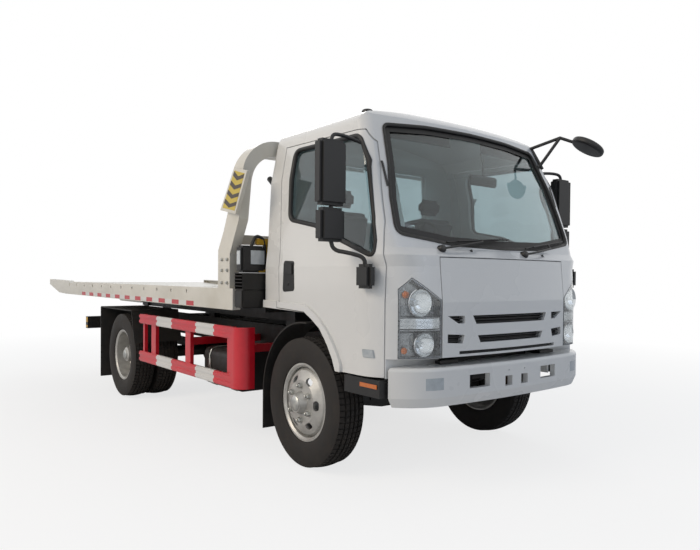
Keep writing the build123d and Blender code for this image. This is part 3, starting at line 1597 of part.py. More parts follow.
# Rear beam across the rails' ends, with the lamp units.
beam_setbacks = (rail_rear_setback + fit_gap, 4640.0)
rear_beam_y = 1080.0
rear_beam_z = (640.0, 780.0)
rear_lamp_y = (800.0, 1060.0)
rear_lamp_depth = 45.0
rear_lamp_z = (665.0, 755.0)

with BuildPart() as rear_beam:
    add(slab((at(beam_setbacks[1]), at(beam_setbacks[0])), (-rear_beam_y, rear_beam_y), rear_beam_z))
rear_beam.part.label = "rear_beam"
export_step(rear_beam.part, "parts/rear_beam.step")

with BuildPart() as tail_lamps:
    for side in sides:
        add(
            slab(
                (at(beam_setbacks[1]) - rear_lamp_depth, at(beam_setbacks[1])),
                sorted((side * rear_lamp_y[0], side * rear_lamp_y[1])),
                rear_lamp_z,
            )
        )
tail_lamps.part.label = "tail_lamps"
export_step(tail_lamps.part, "parts/tail_lamps.step")

# Tilt frame: two box rails on the chassis, hinged at the rear; the deck slides along it.
tilt_front_setback = 700.0
tilt_rear_setback = 4640.0
tilt_member_setbacks = (760.0, 1900.0, 3300.0, 4560.0)
tilt_member_width = 80.0
cylinder_y = 225.0
cylinder_lug = (2000.0, 945.0)  # setback, height
cylinder_eye = 40.0
rod_radius = 24.0
rod_gap = 0.8
lug_gap = 3.0
lug_plate = 15.0

with BuildPart() as tilt_frame:
    for side in sides:
        add(
            slab(
                (at(tilt_rear_setback), at(tilt_front_setback)),
                sorted((side * tilt_rail_y[0], side * tilt_rail_y[1])),
                tilt_rail_z,
            )
        )
    for setback in tilt_member_setbacks:
        add(
            slab(
                (at(setback) - tilt_member_width / 2, at(setback) + tilt_member_width / 2),
                (-tilt_rail_y[0], tilt_rail_y[0]),
                tilt_rail_z,
            )
        )
    # plates on both sides of each rod's eye
    for side in sides:
        for inner in (side * cylinder_y - rod_radius - lug_gap - lug_plate, side * cylinder_y + rod_radius + lug_gap):
            add(
                slab(
                    (at(cylinder_lug[0]) - cylinder_eye, at(tilt_member_setbacks[1])),
                    (inner, inner + lug_plate),
                    (tilt_rail_z[0], cylinder_lug[1] + cylinder_eye),
                )
            )
    with BuildSketch(Plane.XZ.offset(-rail_y)):
        with Locations((at(tilt_pivot_setback), tilt_pivot_z)):
            Circle(tilt_pin_radius + pin_gap)
    extrude(amount=2 * rail_y, mode=Mode.SUBTRACT)
tilt_frame.part.label = "tilt_frame"
export_step(tilt_frame.part, "parts/tilt_frame.step")

# Deck: a plate between channel side rails, on cross bearers and two runners.
deck_front_setback = 642.0
deck_rail_z = (1036.0, 1193.0)
deck_rail_flange = 62.0
deck_rail_sheet = 9.0
deck_plate_z = (1112.0, 1130.0)
deck_runner_y = tilt_rail_y
deck_runner_z = (tilt_rail_z[1] + fit_gap, deck_plate_z[0])
deck_bearer_width = 60.0
deck_bearer_count = 13
deck_bearer_z = (1046.0, deck_plate_z[0])
deck_first_bearer = 760.0
deck_last_bearer = 4950.0
deck_bend_setback = 5040.0  # the plate rises from here to the tail
deck_tail_rise = 48.0
deck_tail_bearers = ((5350.0, 1048.0), (5800.0, 1090.0))  # setback, low height
deck_pad = (642.0, 1100.0, 400.0, 6.0)  # setbacks, half width and thickness of the pad under the winch
runner_keel = (  # setback, height of the runners' deep rear part
    (4700.0, deck_runner_z[0]),
    (4700.0, 955.0),
    (4740.0, 930.0),
    (5504.0, 930.0),
    (5900.0, 1052.0),
    (5900.0, deck_plate_z[0] + deck_tail_rise / 2),
    (5500.0, deck_plate_z[0]),
    (5500.0, deck_runner_z[0]),
)
deck_tail_outline = (  # setback, height of the side rail's outline at the tail
    (4950.0, deck_rail_z[1]),
    (5000.0, 1176.0),
    (5080.0, 1176.0),
    (5200.0, 1204.0),
    (overall_length - front_overhang, 1216.0),
    (overall_length - front_overhang, 1147.0),
    (5640.0, 1046.0),
    (5300.0, deck_rail_z[0]),
)
tie_hole_radius = 16.0
tie_hole_first = 1474.0
tie_hole_pitch = 333.0
tie_hole_count = 12
tie_hole_z = 1156.0
bed_half = bed_width / 2

with BuildPart() as deck:
    outline = [(at(deck_front_setback), deck_rail_z[0]), (at(deck_front_setback), deck_rail_z[1])]
    outline += [(at(setback), z) for setback, z in deck_tail_outline]
    for side in sides:
        with BuildSketch(Plane.XZ.offset(-side * bed_half)):
            with BuildLine():
                Polyline(*outline, close=True)
            make_face()
        extrude(amount=side * deck_rail_flange)
        # leave the web and the two flanges
        with BuildSketch(Plane.XZ.offset(-side * (bed_half - deck_rail_sheet))):
            with BuildLine():
                Polyline(*outline, close=True)
            make_face()
            offset(amount=-deck_rail_sheet, kind=Kind.INTERSECTION, mode=Mode.REPLACE)
        extrude(amount=side * deck_rail_flange, mode=Mode.SUBTRACT)
    tail_x = at(overall_length - front_overhang)
    plate_half = bed_half - deck_rail_sheet
    plate_outline = [
        (at(deck_front_setback), deck_plate_z[0]),
        (at(deck_front_setback), deck_plate_z[1]),
        (at(deck_bend_setback), deck_plate_z[1]),
        (tail_x, deck_plate_z[1] + deck_tail_rise),
        (tail_x, deck_plate_z[0] + deck_tail_rise),
        (at(deck_bend_setback), deck_plate_z[0]),
    ]
    add(side_prism(plate_outline, -plate_half, plate_half))
    add(
        slab(
            (at(deck_pad[1]), at(deck_pad[0])),
            (-deck_pad[2], deck_pad[2]),
            (deck_plate_z[0], deck_plate_z[1] + deck_pad[3]),
        )
    )
    for setback, low in deck_tail_bearers:
        rise = (setback - deck_bend_setback) / (overall_length - front_overhang - deck_bend_setback) * deck_tail_rise
        add(
            slab(
                (at(setback) - deck_bearer_width / 2, at(setback) + deck_bearer_width / 2),
                (-plate_half, plate_half),
                (low, (deck_plate_z[0] + deck_plate_z[1]) / 2 + rise),
            )
        )
    step = (deck_last_bearer - deck_first_bearer) / (deck_bearer_count - 1)
    for number in range(deck_bearer_count):
        middle = at(deck_first_bearer + number * step)
        add(
            slab(
                (middle - deck_bearer_width / 2, middle + deck_bearer_width / 2),
                (-(bed_half - deck_rail_sheet), bed_half - deck_rail_sheet),
                deck_bearer_z,
            )
        )
    for side in sides:
        low, high = sorted((side * deck_runner_y[0], side * deck_runner_y[1]))
        add(slab((at(runner_keel[-1][0]), at(deck_front_setback)), (low, high), deck_runner_z))
        add(side_prism([(at(setback), z) for setback, z in runner_keel], low, high))
    with BuildSketch(Plane.XZ.offset(-bed_half - overrun)):
        with Locations([(at(tie_hole_first + number * tie_hole_pitch), tie_hole_z) for number in range(tie_hole_count)]):
            Circle(tie_hole_radius)
    extrude(amount=overrun + deck_rail_sheet, mode=Mode.SUBTRACT)
    with BuildSketch(Plane.XZ.offset(bed_half + overrun)):
        with Locations([(at(tie_hole_first + number * tie_hole_pitch), tie_hole_z) for number in range(tie_hole_count)]):
            Circle(tie_hole_radius)
    extrude(amount=-overrun - deck_rail_sheet, mode=Mode.SUBTRACT)
deck.part.label = "deck"
export_step(deck.part, "parts/deck.step")

# Gantry: a portal over the bed's front that leans forward above its knee.
gantry_half = 1140.0
gantry_post = 75.0
gantry_top_z = 2272.0
gantry_corner = 280.0
gantry_bar = 110.0
gantry_crossbar = (715.0, 790.0, 1520.0, 1590.0)  # setbacks, heights
gantry_side_outline = (  # setback, height
    (700.0, deck_rail_z[1] + fit_gap),
    (700.0, 1446.0),
    (560.0, 1690.0),
    (510.0, 2000.0),
    (510.0, gantry_top_z),
    (640.0, gantry_top_z),
    (665.0, 2050.0),
    (720.0, 1780.0),
    (800.0, 1620.0),
    (893.0, 1475.0),
    (893.0, deck_rail_z[1] + fit_gap),
)


def arch_form(half, top, corner):
    """A round-shouldered arch across the truck, drawn out over the gantry's whole depth."""
    with BuildPart() as form:
        with BuildSketch(Plane.YZ.offset(at(gantry_side_outline[-1][0]))) as face:
            with Locations((0, top / 2)):
                Rectangle(2 * half, top)
            fillet(face.vertices().group_by(Axis.Z)[-1], radius=corner)
        extrude(amount=gantry_side_outline[-1][0] - gantry_side_outline[3][0])
    return form.part


with BuildPart() as gantry:
    add(arch_form(gantry_half, gantry_top_z, gantry_corner))
    add(
        arch_form(gantry_half - gantry_post, gantry_top_z - gantry_bar, gantry_corner - gantry_post),
        mode=Mode.SUBTRACT,
    )
    add(
        side_prism([(at(setback), z) for setback, z in gantry_side_outline], -gantry_half, gantry_half),
        mode=Mode.INTERSECT,
    )
    add(
        slab(
            (at(gantry_crossbar[1]), at(gantry_crossbar[0])),
            (-(gantry_half - gantry_post / 2), gantry_half - gantry_post / 2),
            gantry_crossbar[2:],
        )
    )
gantry.part.label = "gantry"
export_step(gantry.part, "parts/gantry.step")

# Warning boards on the gantry's posts.
board_outline = ((800.0, 1770.0), (580.0, 2060.0), (385.0, 2012.0), (560.0, 1725.0))  # setback, height
board_thickness = 28.0

with BuildPart() as warning_boards:
    for side in sides:
        low, high = sorted((side * (gantry_half + fit_gap), side * (gantry_half + fit_gap + board_thickness)))
        add(side_prism([(at(setback), z) for setback, z in board_outline], low, high))
warning_boards.part.label = "warning_boards"
export_step(warning_boards.part, "parts/warning_boards.step")

# Winch: a flanged drum between two cheeks, with its motor and gear case outside them and rollers behind.
winch_setbacks = (740.0, 1080.0)
winch_half_width = 330.0
winch_cheek = 40.0
winch_top = 1500.0
winch_foot_z = deck_plate_z[1] + deck_pad[3] + fit_gap
drum_radius = 110.0
drum_z = 1330.0
drum_flange_radius = 150.0
drum_flange = 14.0
motor_radius = 72.0
motor_reach = 230.0
gear_case_radius = 118.0
gear_case_depth = 90.0
tie_bar_radius = 14.0
tie_bar_places = ((775.0, 1470.0), (1045.0, 1470.0), (775.0, 1200.0))  # setback, height
roller_radius = 30.0
roller_place = (1045.0, 1195.0)

with BuildPart() as winch:
    drum_x = at((winch_setbacks[0] + winch_setbacks[1]) / 2)
    add(
        slab(
            (at(winch_setbacks[1]), at(winch_setbacks[0])),
            (-winch_half_width, winch_half_width),
            (winch_foot_z, winch_foot_z + winch_cheek / 2),
        )
    )
    for side in sides:
        add(
            slab(
                (at(winch_setbacks[1]), at(winch_setbacks[0])),
                sorted((side * winch_half_width, side * (winch_half_width - winch_cheek))),
                (winch_foot_z, winch_top),
            )
        )
    turned_pieces = [  # x, z, radius, low y, high y
        (drum_x, drum_z, drum_radius, -winch_half_width, winch_half_width),
        (drum_x, drum_z, motor_radius, winch_half_width, winch_half_width + motor_reach),
        (drum_x, drum_z, gear_case_radius, -winch_half_width - gear_case_depth, -winch_half_width),
        (at(roller_place[0]), roller_place[1], roller_radius, -winch_half_width, winch_half_width),
    ]
    inside = winch_half_width - winch_cheek
    turned_pieces += [
        (drum_x, drum_z, drum_flange_radius, low, low + drum_flange) for low in (-inside, inside - drum_flange)
    ]
    turned_pieces += [
        (at(setback), z, tie_bar_radius, -winch_half_width, winch_half_width) for setback, z in tie_bar_places
    ]
    for x, z, radius, low, high in turned_pieces:
        with BuildSketch(Plane.XZ.offset(-low)):
            with Locations((x, z)):
                Circle(radius)
        extrude(amount=low - high)
winch.part.label = "winch"
export_step(winch.part, "parts/winch.step")

# Lift cylinders: barrels pinned to the chassis inside the rails, rods pinned to the tilt frame.
barrel_radius = 45.0
barrel_length_share = 0.78  # of the distance between the two pins at rest
foot_point = Vector(at(cylinder_foot[0]), 0, cylinder_foot[1])
lug_point = Vector(at(cylinder_lug[0]), 0, cylinder_lug[1])
cylinder_run = lug_point - foot_point

with BuildPart() as cylinder_barrels:
    for side in sides:
        start = foot_point + Vector(0, side * cylinder_y, 0)
        with BuildSketch(Plane(origin=start, z_dir=cylinder_run)):
            Circle(barrel_radius)
            Circle(rod_radius + rod_gap, mode=Mode.SUBTRACT)
        extrude(amount=cylinder_run.length * barrel_length_share)
        with BuildSketch(Plane(origin=start, z_dir=cylinder_run)):
            Circle(barrel_radius)
        extrude(amount=barrel_radius, both=True)
    with BuildSketch(Plane.XZ.offset(-rail_y)):
        with Locations((at(cylinder_foot[0]), cylinder_foot[1])):
            Circle(foot_pin_radius + pin_gap)
    extrude(amount=2 * rail_y, mode=Mode.SUBTRACT)
cylinder_barrels.part.label = "cylinder_barrels"
export_step(cylinder_barrels.part, "parts/cylinder_barrels.step")

with BuildPart() as cylinder_rods:
    for side in sides:
        start = foot_point + Vector(0, side * cylinder_y, 0) + cylinder_run.normalized() * (2 * barrel_radius)
        with BuildSketch(Plane(origin=start, z_dir=cylinder_run)):
            Circle(rod_radius)
        extrude(amount=cylinder_run.length - 2 * barrel_radius)
        with BuildSketch(Plane.XZ.offset(-side * cylinder_y - rod_radius)):
            with Locations((lug_point.X, lug_point.Z)):
                Circle(cylinder_eye)
        extrude(amount=2 * rod_radius)
cylinder_rods.part.label = "cylinder_rods"
export_step(cylinder_rods.part, "parts/cylinder_rods.step")
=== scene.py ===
import math

import bmesh
import bpy
from mathutils import Matrix, Vector


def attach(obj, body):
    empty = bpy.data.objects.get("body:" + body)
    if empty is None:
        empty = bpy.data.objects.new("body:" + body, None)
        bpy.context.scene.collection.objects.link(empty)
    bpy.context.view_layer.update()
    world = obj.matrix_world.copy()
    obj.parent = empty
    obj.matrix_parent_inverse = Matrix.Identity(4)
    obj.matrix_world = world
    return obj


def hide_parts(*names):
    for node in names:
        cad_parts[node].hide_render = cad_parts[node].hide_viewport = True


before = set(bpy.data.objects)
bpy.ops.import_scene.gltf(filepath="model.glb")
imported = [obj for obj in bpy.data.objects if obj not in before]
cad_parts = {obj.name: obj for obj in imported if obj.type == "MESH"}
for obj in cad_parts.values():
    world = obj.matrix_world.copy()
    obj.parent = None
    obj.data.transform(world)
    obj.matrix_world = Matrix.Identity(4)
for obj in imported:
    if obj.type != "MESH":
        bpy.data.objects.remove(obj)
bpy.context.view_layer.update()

# Chassis, axles and springs: pressed channel rails, a forged beam and cast cases, bolted up and
# sprayed with one coat of black chassis enamel. Road dust settles on it and breaks its sheen.


def linear(colour):
    """An sRGB hex colour as the linear RGBA that the shaders take."""
    parts = [int(colour[place : place + 2], 16) / 255 for place in (1, 3, 5)]
    return [p / 12.92 if p <= 0.04045 else ((p + 0.055) / 1.055) ** 2.4 for p in parts] + [1.0]


def add_node(material, kind, inputs=None, **settings):
    """Adds a shader node with its own settings; an input is a value or the socket that feeds it."""
    tree = material.node_tree
    node = tree.nodes.new("ShaderNode" + kind)
    for name, value in settings.items():
        setattr(node, name, value)
    for name, value in (inputs or {}).items():
        if isinstance(value, bpy.types.NodeSocket):
            tree.links.new(value, node.inputs[name])
        else:
            node.inputs[name].default_value = value
    return node


def new_finish(name, inputs):
    """A material whose shader's own sockets hold the even values; returns it and the shader."""
    material = bpy.data.materials.new(name)
    material.use_nodes = True
    shader = material.node_tree.nodes["Principled BSDF"]
    for socket, value in inputs.items():
        shader.inputs[socket].default_value = value
    return material, shader


def mottle(material, shader, colours, grain_mm, roughness, bump_mm=0.0, stretch=(1, 1, 1)):
    """Blends two or three colours and two roughnesses by a noise whose patches are grain_mm wide."""
    links = material.node_tree.links
    place = add_node(material, "TexCoord")
    mapping = add_node(material, "Mapping", {"Vector": place.outputs["Object"], "Scale": stretch})
    noise = add_node(
        material,
        "TexNoise",
        {"Vector": mapping.outputs["Vector"], "Scale": 1000.0 / grain_mm, "Detail": 5.0, "Roughness": 0.6},
    )
    ramp = add_node(material, "ValToRGB", {"Fac": noise.outputs["Fac"]})
    stops = ramp.color_ramp.elements
    for number, colour in enumerate(colours):
        stop = stops[number] if number < 2 else stops.new(1.0)
        stop.position = 0.3 + 0.4 * number / (len(colours) - 1)
        stop.color = linear(colour)
    links.new(ramp.outputs["Color"], shader.inputs["Base Color"])
    spread = {"From Min": 0.3, "From Max": 0.7, "To Min": roughness[0], "To Max": roughness[1]}
    sheen = add_node(material, "MapRange", {"Value": noise.outputs["Fac"], **spread})
    links.new(sheen.outputs["Result"], shader.inputs["Roughness"])
    if bump_mm:
        depth = {"Height": noise.outputs["Fac"], "Distance": bump_mm / 1000, "Strength": 0.6}
        bump = add_node(material, "Bump", depth)
        links.new(bump.outputs["Normal"], shader.inputs["Normal"])
    return ramp, noise


def mottled(name, inputs, *look):
    """A new material with even values on its shader's own sockets and a mottled colour and roughness."""
    material, shader = new_finish(name, inputs)
    mottle(material, shader, *look)
    return material


def paint(material, *names):
    """Puts a material on CAD nodes."""
    for name in names:
        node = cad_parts[name]
        node.data.materials.clear()
        node.data.materials.append(material)


chassis_enamel = mottled(
    "chassis_enamel", {"Metallic": 0.0, "IOR": 1.5, "Specular IOR Level": 0.4},
    ("#121213", "#191817", "#24211e"), 90.0, (0.38, 0.62), 0.4,
)
paint(
    chassis_enamel,
    "chassis_frame", "front_axle", "rear_axle", "leaf_springs", "propeller_shaft", "knuckle_right",
    "knuckle_left", "tilt_frame", "fuel_tank", "tool_box", "catwalk_box",
)

# Engine, radiator, silencer and cylinder barrels: cast grey iron, and steel sheet and tube welded
# into cases, all bolted to the frame and dull with heat.
dull_iron = mottled(
    "dull_grey_iron", {"Metallic": 0.35, "IOR": 1.5},
    ("#2c2c2b", "#3a3937", "#4a4845"), 60.0, (0.45, 0.7), 0.6,
)
paint(dull_iron, "engine", "radiator", "silencer", "cylinder_barrels")

# The cylinders' rods: steel bar, plated with hard chrome, ground and polished, so that the seals
# slide on it.
hard_chrome = mottled(
    "hard_chrome", {"Metallic": 1.0},
    ("#c9cacc", "#d6d7d8"), 20.0, (0.10, 0.2), 0.0, (0.2, 1, 1),
)
paint(hard_chrome, "cylinder_rods")

# Fuel tank's bands, filler cap and drain, and the tool box's door, latches and hinge pins: strip and
# turned steel, zinc-plated and bolted on; the door is enamelled like the chassis.
FRONT_AXLE_X = 2.5525


def place_at(setback, y, z):
    """A point that lies this far behind the front axle, in metres."""
    return Vector((FRONT_AXLE_X - setback, y, z))


def block(shape, low, high, bevel):
    """Adds a block with rounded edges between two corners."""
    spans = [sorted(pair) for pair in zip(low, high)]
    corners = [Vector((x, y, z)) for x in spans[0] for y in spans[1] for z in spans[2]]
    verts = [shape.verts.new(corner) for corner in corners]
    faces = ((0, 1, 3, 2), (4, 6, 7, 5), (0, 4, 5, 1), (2, 3, 7, 6), (0, 2, 6, 4), (1, 5, 7, 3))
    made = [shape.faces.new([verts[number] for number in face]) for face in faces]
    bmesh.ops.recalc_face_normals(shape, faces=made)
    edges = list({edge for face in made for edge in face.edges})
    bmesh.ops.bevel(shape, geom=edges, offset=bevel, segments=2, affect="EDGES")


def turned(shape, profile, centre, axis, steps=32):
    """Adds a body turned about an axis from (distance along it, radius) pairs."""
    axis = Vector(axis).normalized()
    first = axis.orthogonal().normalized()
    second = axis.cross(first)
    rings = []
    for along, radius in profile:
        middle = Vector(centre) + axis * along
        if radius == 0:
            rings.append([shape.verts.new(middle)])
            continue
        ring = []
        for step in range(steps):
            angle = math.tau * step / steps
            spoke = first * math.cos(angle) + second * math.sin(angle)
            ring.append(shape.verts.new(middle + spoke * radius))
        rings.append(ring)
    for low, high in zip(rings, rings[1:]):
        for step in range(steps):
            after = (step + 1) % steps
            places = ((low, step), (low, after), (high, after), (high, step))
            corners = list(dict.fromkeys(ring[place % len(ring)] for ring, place in places))
            if len(corners) > 2:
                shape.faces.new(corners)


def join_rings(shape, rings):
    """Joins rings of vertices by bands of faces, each ring to the next."""
    for low, high in zip(rings, rings[1:]):
        for number in range(len(low)):
            after = (number + 1) % len(low)
            shape.faces.new((low[number], low[after], high[after], high[number]))


def hose(shape, path, radius, sides=10, bends=0):
    """Adds a round bar or hose along a path, with its bends rounded by a smooth curve."""
    points = [Vector(point) for point in path]
    for _ in range(bends):
        softer = [points[0]]
        for a, b in zip(points, points[1:]):
            softer += [a * 0.75 + b * 0.25, a * 0.25 + b * 0.75]
        points = softer + [points[-1]]
    rings = []
    side = None
    for number, point in enumerate(points):
        before = points[max(number - 1, 0)]
        after = points[min(number + 1, len(points) - 1)]
        run = (after - before).normalized()
        side = run.orthogonal().normalized() if side is None else (side - run * side.dot(run)).normalized()
        other = run.cross(side)
        ring = []
        for step in range(sides):
            angle = math.tau * step / sides
            spoke = side * math.cos(angle) + other * math.sin(angle)
            ring.append(shape.verts.new(point + spoke * radius))
        rings.append(ring)
    join_rings(shape, rings)
    shape.faces.new(rings[0][::-1])
    shape.faces.new(rings[-1])


def add_piece(name, shape, material, body, replaced=(), crease=35):
    """Turns a shape into a piece that rides on a CAD body."""
    bmesh.ops.recalc_face_normals(shape, faces=shape.faces)
    mesh = bpy.data.meshes.new(name)
    shape.to_mesh(mesh)
    shape.free()
    mesh.shade_smooth()
    mesh.set_sharp_from_angle(angle=math.radians(crease))
    mesh.materials.append(material)
    piece = bpy.data.objects.new(name, mesh)
    bpy.context.collection.objects.link(piece)
    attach(piece, body)
    if replaced:
        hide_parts(*replaced)
    return piece


zinc_plate = mottled(
    "zinc_plated_steel", {"Metallic": 1.0},
    ("#a6a7a6", "#b5b6b3", "#c0bfb8"), 25.0, (0.28, 0.45), 0.1,
)
BAND = (  # y, z round the tank
    (0.432, 0.695), (0.92, 0.695), (0.967, 0.674), (0.984, 0.63), (0.984, 0.44), (0.967, 0.396),
    (0.92, 0.376), (0.432, 0.376),
)
CAP_PROFILE = [(0, 0.045), (0.03, 0.045), (0.036, 0.05), (0.055, 0.05), (0.06, 0.044), (0.06, 0)]
DRAIN_PROFILE = [(0, 0.016), (0.008, 0.016), (0.012, 0.009), (0.012, 0)]
KNOB_PROFILE = [(0, 0.014), (0.007, 0.014), (0.009, 0.01), (0.009, 0)]
PIN_PROFILE = [(-0.03, 0.007), (0.03, 0.007), (0.03, 0)]
shape = bmesh.new()
for setback in (1.01, 1.37):
    hose(shape, [place_at(setback, -y, z) for y, z in BAND], 0.006, 6)
    block(shape, place_at(setback + 0.02, -0.987, 0.47), place_at(setback - 0.02, -0.981, 0.6), 0.002)
turned(shape, CAP_PROFILE, place_at(1.2, -0.83, 0.688), (0, 0, 1))
turned(shape, DRAIN_PROFILE, place_at(1.2, -0.7, 0.38), (0, 0, -1), 6)
add_piece("tank_bands_and_cap", shape, zinc_plate, "chassis")
shape = bmesh.new()
block(shape, place_at(1.46, 0.979, 0.42), place_at(0.92, 0.986, 0.672), 0.003)
add_piece("tool_box_door", shape, chassis_enamel, "chassis")
shape = bmesh.new()
for setback in (1.02, 1.36):
    block(shape, place_at(setback + 0.022, 0.985, 0.425), place_at(setback - 0.022, 0.992, 0.47), 0.002)
    turned(shape, PIN_PROFILE, place_at(setback, 0.988, 0.676), (1, 0, 0), 12)
turned(shape, KNOB_PROFILE, place_at(1.19, 0.984, 0.45), (0, 1, 0), 20)
add_piece("tool_box_latches", shape, zinc_plate, "chassis")

# Cab, doors, lid and bumper: pressed steel sprayed with white enamel and stoved, so it is glossy
# over a faint unevenness of tone.
cab_enamel = mottled(
    "white_cab_enamel", {"IOR": 1.5, "Coat Weight": 0.6, "Coat Roughness": 0.08, "Coat IOR": 1.5},
    ("#dcdcda", "#e0e0de", "#e3e3e1"), 1500.0, (0.24, 0.30), 0.0,
)
paint(cab_enamel, "cab_shell", "door_right", "door_left", "front_lid", "front_bumper")

# Windscreen's ceramic border and the rubber round it: the border is black enamel fired onto the
# inside of the glass; the rubber is extruded and pressed over the flange of the opening.
NOSE_ROWS = (  # height, how far ahead of the front axle, half width, corner radius in plan
    (0.397, 1.010, 0.965, 0.330),
    (1.140, 1.010, 0.965, 0.330),
    (1.350, 0.988, 0.965, 0.310),
    (1.417, 0.983, 0.958, 0.250),
    (1.462, 0.935, 0.952, 0.170),
    (1.600, 0.885, 0.943, 0.110),
    (1.960, 0.755, 0.925, 0.090),
    (2.300, 0.592, 0.856, 0.090),
)
NOSE_BOW = 4.5  # radius of the cab's front in plan
SHARPEST_CORNER = 0.012


def nose_plan(z, inset):
    """The cab's plan at one height, drawn in by a distance: half width, corner radius and its centre."""
    low, high = NOSE_ROWS[0], NOSE_ROWS[-1]
    for low, high in zip(NOSE_ROWS, NOSE_ROWS[1:]):
        if z <= high[0]:
            break
    share = (z - low[0]) / (high[0] - low[0])
    reach, half, corner = [a + (b - a) * share for a, b in zip(low[1:], high[1:])]
    reach, half, corner = reach - inset, half - inset, max(corner - inset, SHARPEST_CORNER)
    middle = reach - NOSE_BOW
    corner_y = half - corner
    corner_x = middle + math.sqrt((NOSE_BOW - corner) ** 2 - corner_y**2)
    return middle, half, corner, corner_x, corner_y


def on_front(y, z, inset=0.0):
    """The point of the cab's front skin at this width and height, or one this far inside it."""
    middle, half, corner, corner_x, corner_y = nose_plan(z, inset)
    if abs(y) <= corner_y * NOSE_BOW / (NOSE_BOW - corner):
        x = middle + math.sqrt(NOSE_BOW**2 - y * y)
    else:
        x = corner_x + math.sqrt(max(corner**2 - (abs(y) - corner_y) ** 2, 0.0))
    return Vector((FRONT_AXLE_X + x, y, z))


def rounded(points, radii, steps=6):
    """Rounds the corners of a closed outline in a plane; the radii go with the points."""
    out = []
    for number, (point, radius) in enumerate(zip(points, radii)):
        corner = Vector(point)
        before = Vector(points[number - 1]) - corner
        after = Vector(points[(number + 1) % len(points)]) - corner
        if not radius:
            out.append(corner)
            continue
        reach = radius / math.tan(before.angle(after) / 2)
        start, end = corner + before.normalized() * reach, corner + after.normalized() * reach
        for step in range(steps + 1):
            share = step / steps
            out.append(start * (1 - share) ** 2 + corner * 2 * share * (1 - share) + end * share**2)
    return out


def drawn_in(points, distance):
    """A closed outline, drawn in by a distance; the points run round it either way."""
    area = sum(a.x * b.y - b.x * a.y for a, b in zip(points, points[1:] + points[:1]))
    turn = 1 if area > 0 else -1
    sharpest = 0.4  # keeps a sharp corner's point from running away
    out = []
    for number, point in enumerate(points):
        before = (point - points[number - 1]).normalized()
        after = (points[(number + 1) % len(points)] - point).normalized()
        normals = [Vector((-run.y, run.x)) * turn for run in (before, after)]
        middle = normals[0] + normals[1]
        middle = middle / max(middle.dot(normals[0]), sharpest)
        out.append(point + middle * distance)
    return out


def finely(points, longest=0.05):
    """A closed outline with its long runs divided."""
    out = []
    for point, after in zip(points, points[1:] + points[:1]):
        count = max(1, math.ceil((after - point).length / longest))
        out += [point + (after - point) * (step / count) for step in range(count)]
    return out


def ring_between(shape, outer, inner, thickness):
    """Adds a closed band between two rings of points, with its far side shifted by a vector each."""
    far_inner, far_outer = [[p + t for p, t in zip(ring, thickness)] for ring in (inner, outer)]
    loops = [outer, inner, far_inner, far_outer]
    loops = [[shape.verts.new(point) for point in loop] for loop in loops]
    join_rings(shape, loops + loops[:1])


glazing_rubber = mottled(
    "glazing_rubber", {"IOR": 1.5, "Specular IOR Level": 0.4},
    ("#0e0e0f", "#151516", "#1b1b1b"), 15.0, (0.42, 0.6), 0.1,
)
SCREEN_HALF = (  # y, z of one half, from the bottom's middle
    (0, 1.476), (0.45, 1.488), (0.842, 1.545), (0.825, 1.76), (0.732, 2.24), (0.4, 2.265), (0, 2.272),
)
SCREEN_RADII = [0, 0, 0.06, 0, 0.055, 0, 0, 0, 0.055, 0, 0.06, 0]
BORDER_EDGES = (0.002, 0.05)  # the border's outer and inner edge, inside the outline
BORDER_INSET = 0.0175
BORDER_DEPTH = 0.0015
SCREEN_SECTION = (  # the rubber's section: how far inside the outline, how far inside the skin
    (-0.010, -0.001), (-0.008, -0.005), (0.004, -0.004), (0.012, 0.004), (0.012, 0.019), (0.001, 0.019),
    (0.001, 0.001),
)
screen = [Vector(point) for point in SCREEN_HALF] + [Vector((-y, z)) for y, z in SCREEN_HALF[-2:0:-1]]
screen = finely(rounded(screen, SCREEN_RADII))
shape = bmesh.new()
outer, inner = [[on_front(y, z, BORDER_INSET) for y, z in drawn_in(screen, edge)] for edge in BORDER_EDGES]
ring_between(shape, outer, inner, [Vector((BORDER_DEPTH, 0, 0))] * len(outer))
add_piece("screen_border", shape, glazing_rubber, "cab")
shape = bmesh.new()
rings = [
    [shape.verts.new(on_front(y, z, inset)) for y, z in drawn_in(screen, grow)]
    for grow, inset in SCREEN_SECTION
]
join_rings(shape, rings + rings[:1])
add_piece("screen_rubber", shape, glazing_rubber, "cab", crease=60)

# Glass: a laminated windscreen and toughened door glasses, faintly tinted and held by the rubber
# that is pressed round them.
glass_inputs = {"IOR": 1.52, "Roughness": 0.01, "Transmission Weight": 1.0}
tinted_glass = mottled("tinted_safety_glass", glass_inputs, ("#b4c3c6", "#b9c8cb"), 900.0, (0.0, 0.02))
paint(tinted_glass, "cab_glass", "door_glass_right", "door_glass_left")

# Door windows and handles: an extruded rubber channel round each glass, a moulded vent strip on the
# pillar, a handle plate with its lever and lock, and a side lamp, all clipped on. An amber reflector
# is stuck below each door.
def on_side(setback, z, side, inset=0.0):
    """The point of the cab's side skin at this setback and height, or one this far inside it."""
    middle, half, corner, corner_x, corner_y = nose_plan(z, inset)
    y = half
    if -setback > corner_x:
        y = corner_y + math.sqrt(max(corner**2 - (-setback - corner_x) ** 2, 0.0))
    return Vector((FRONT_AXLE_X - setback, side * y, z))


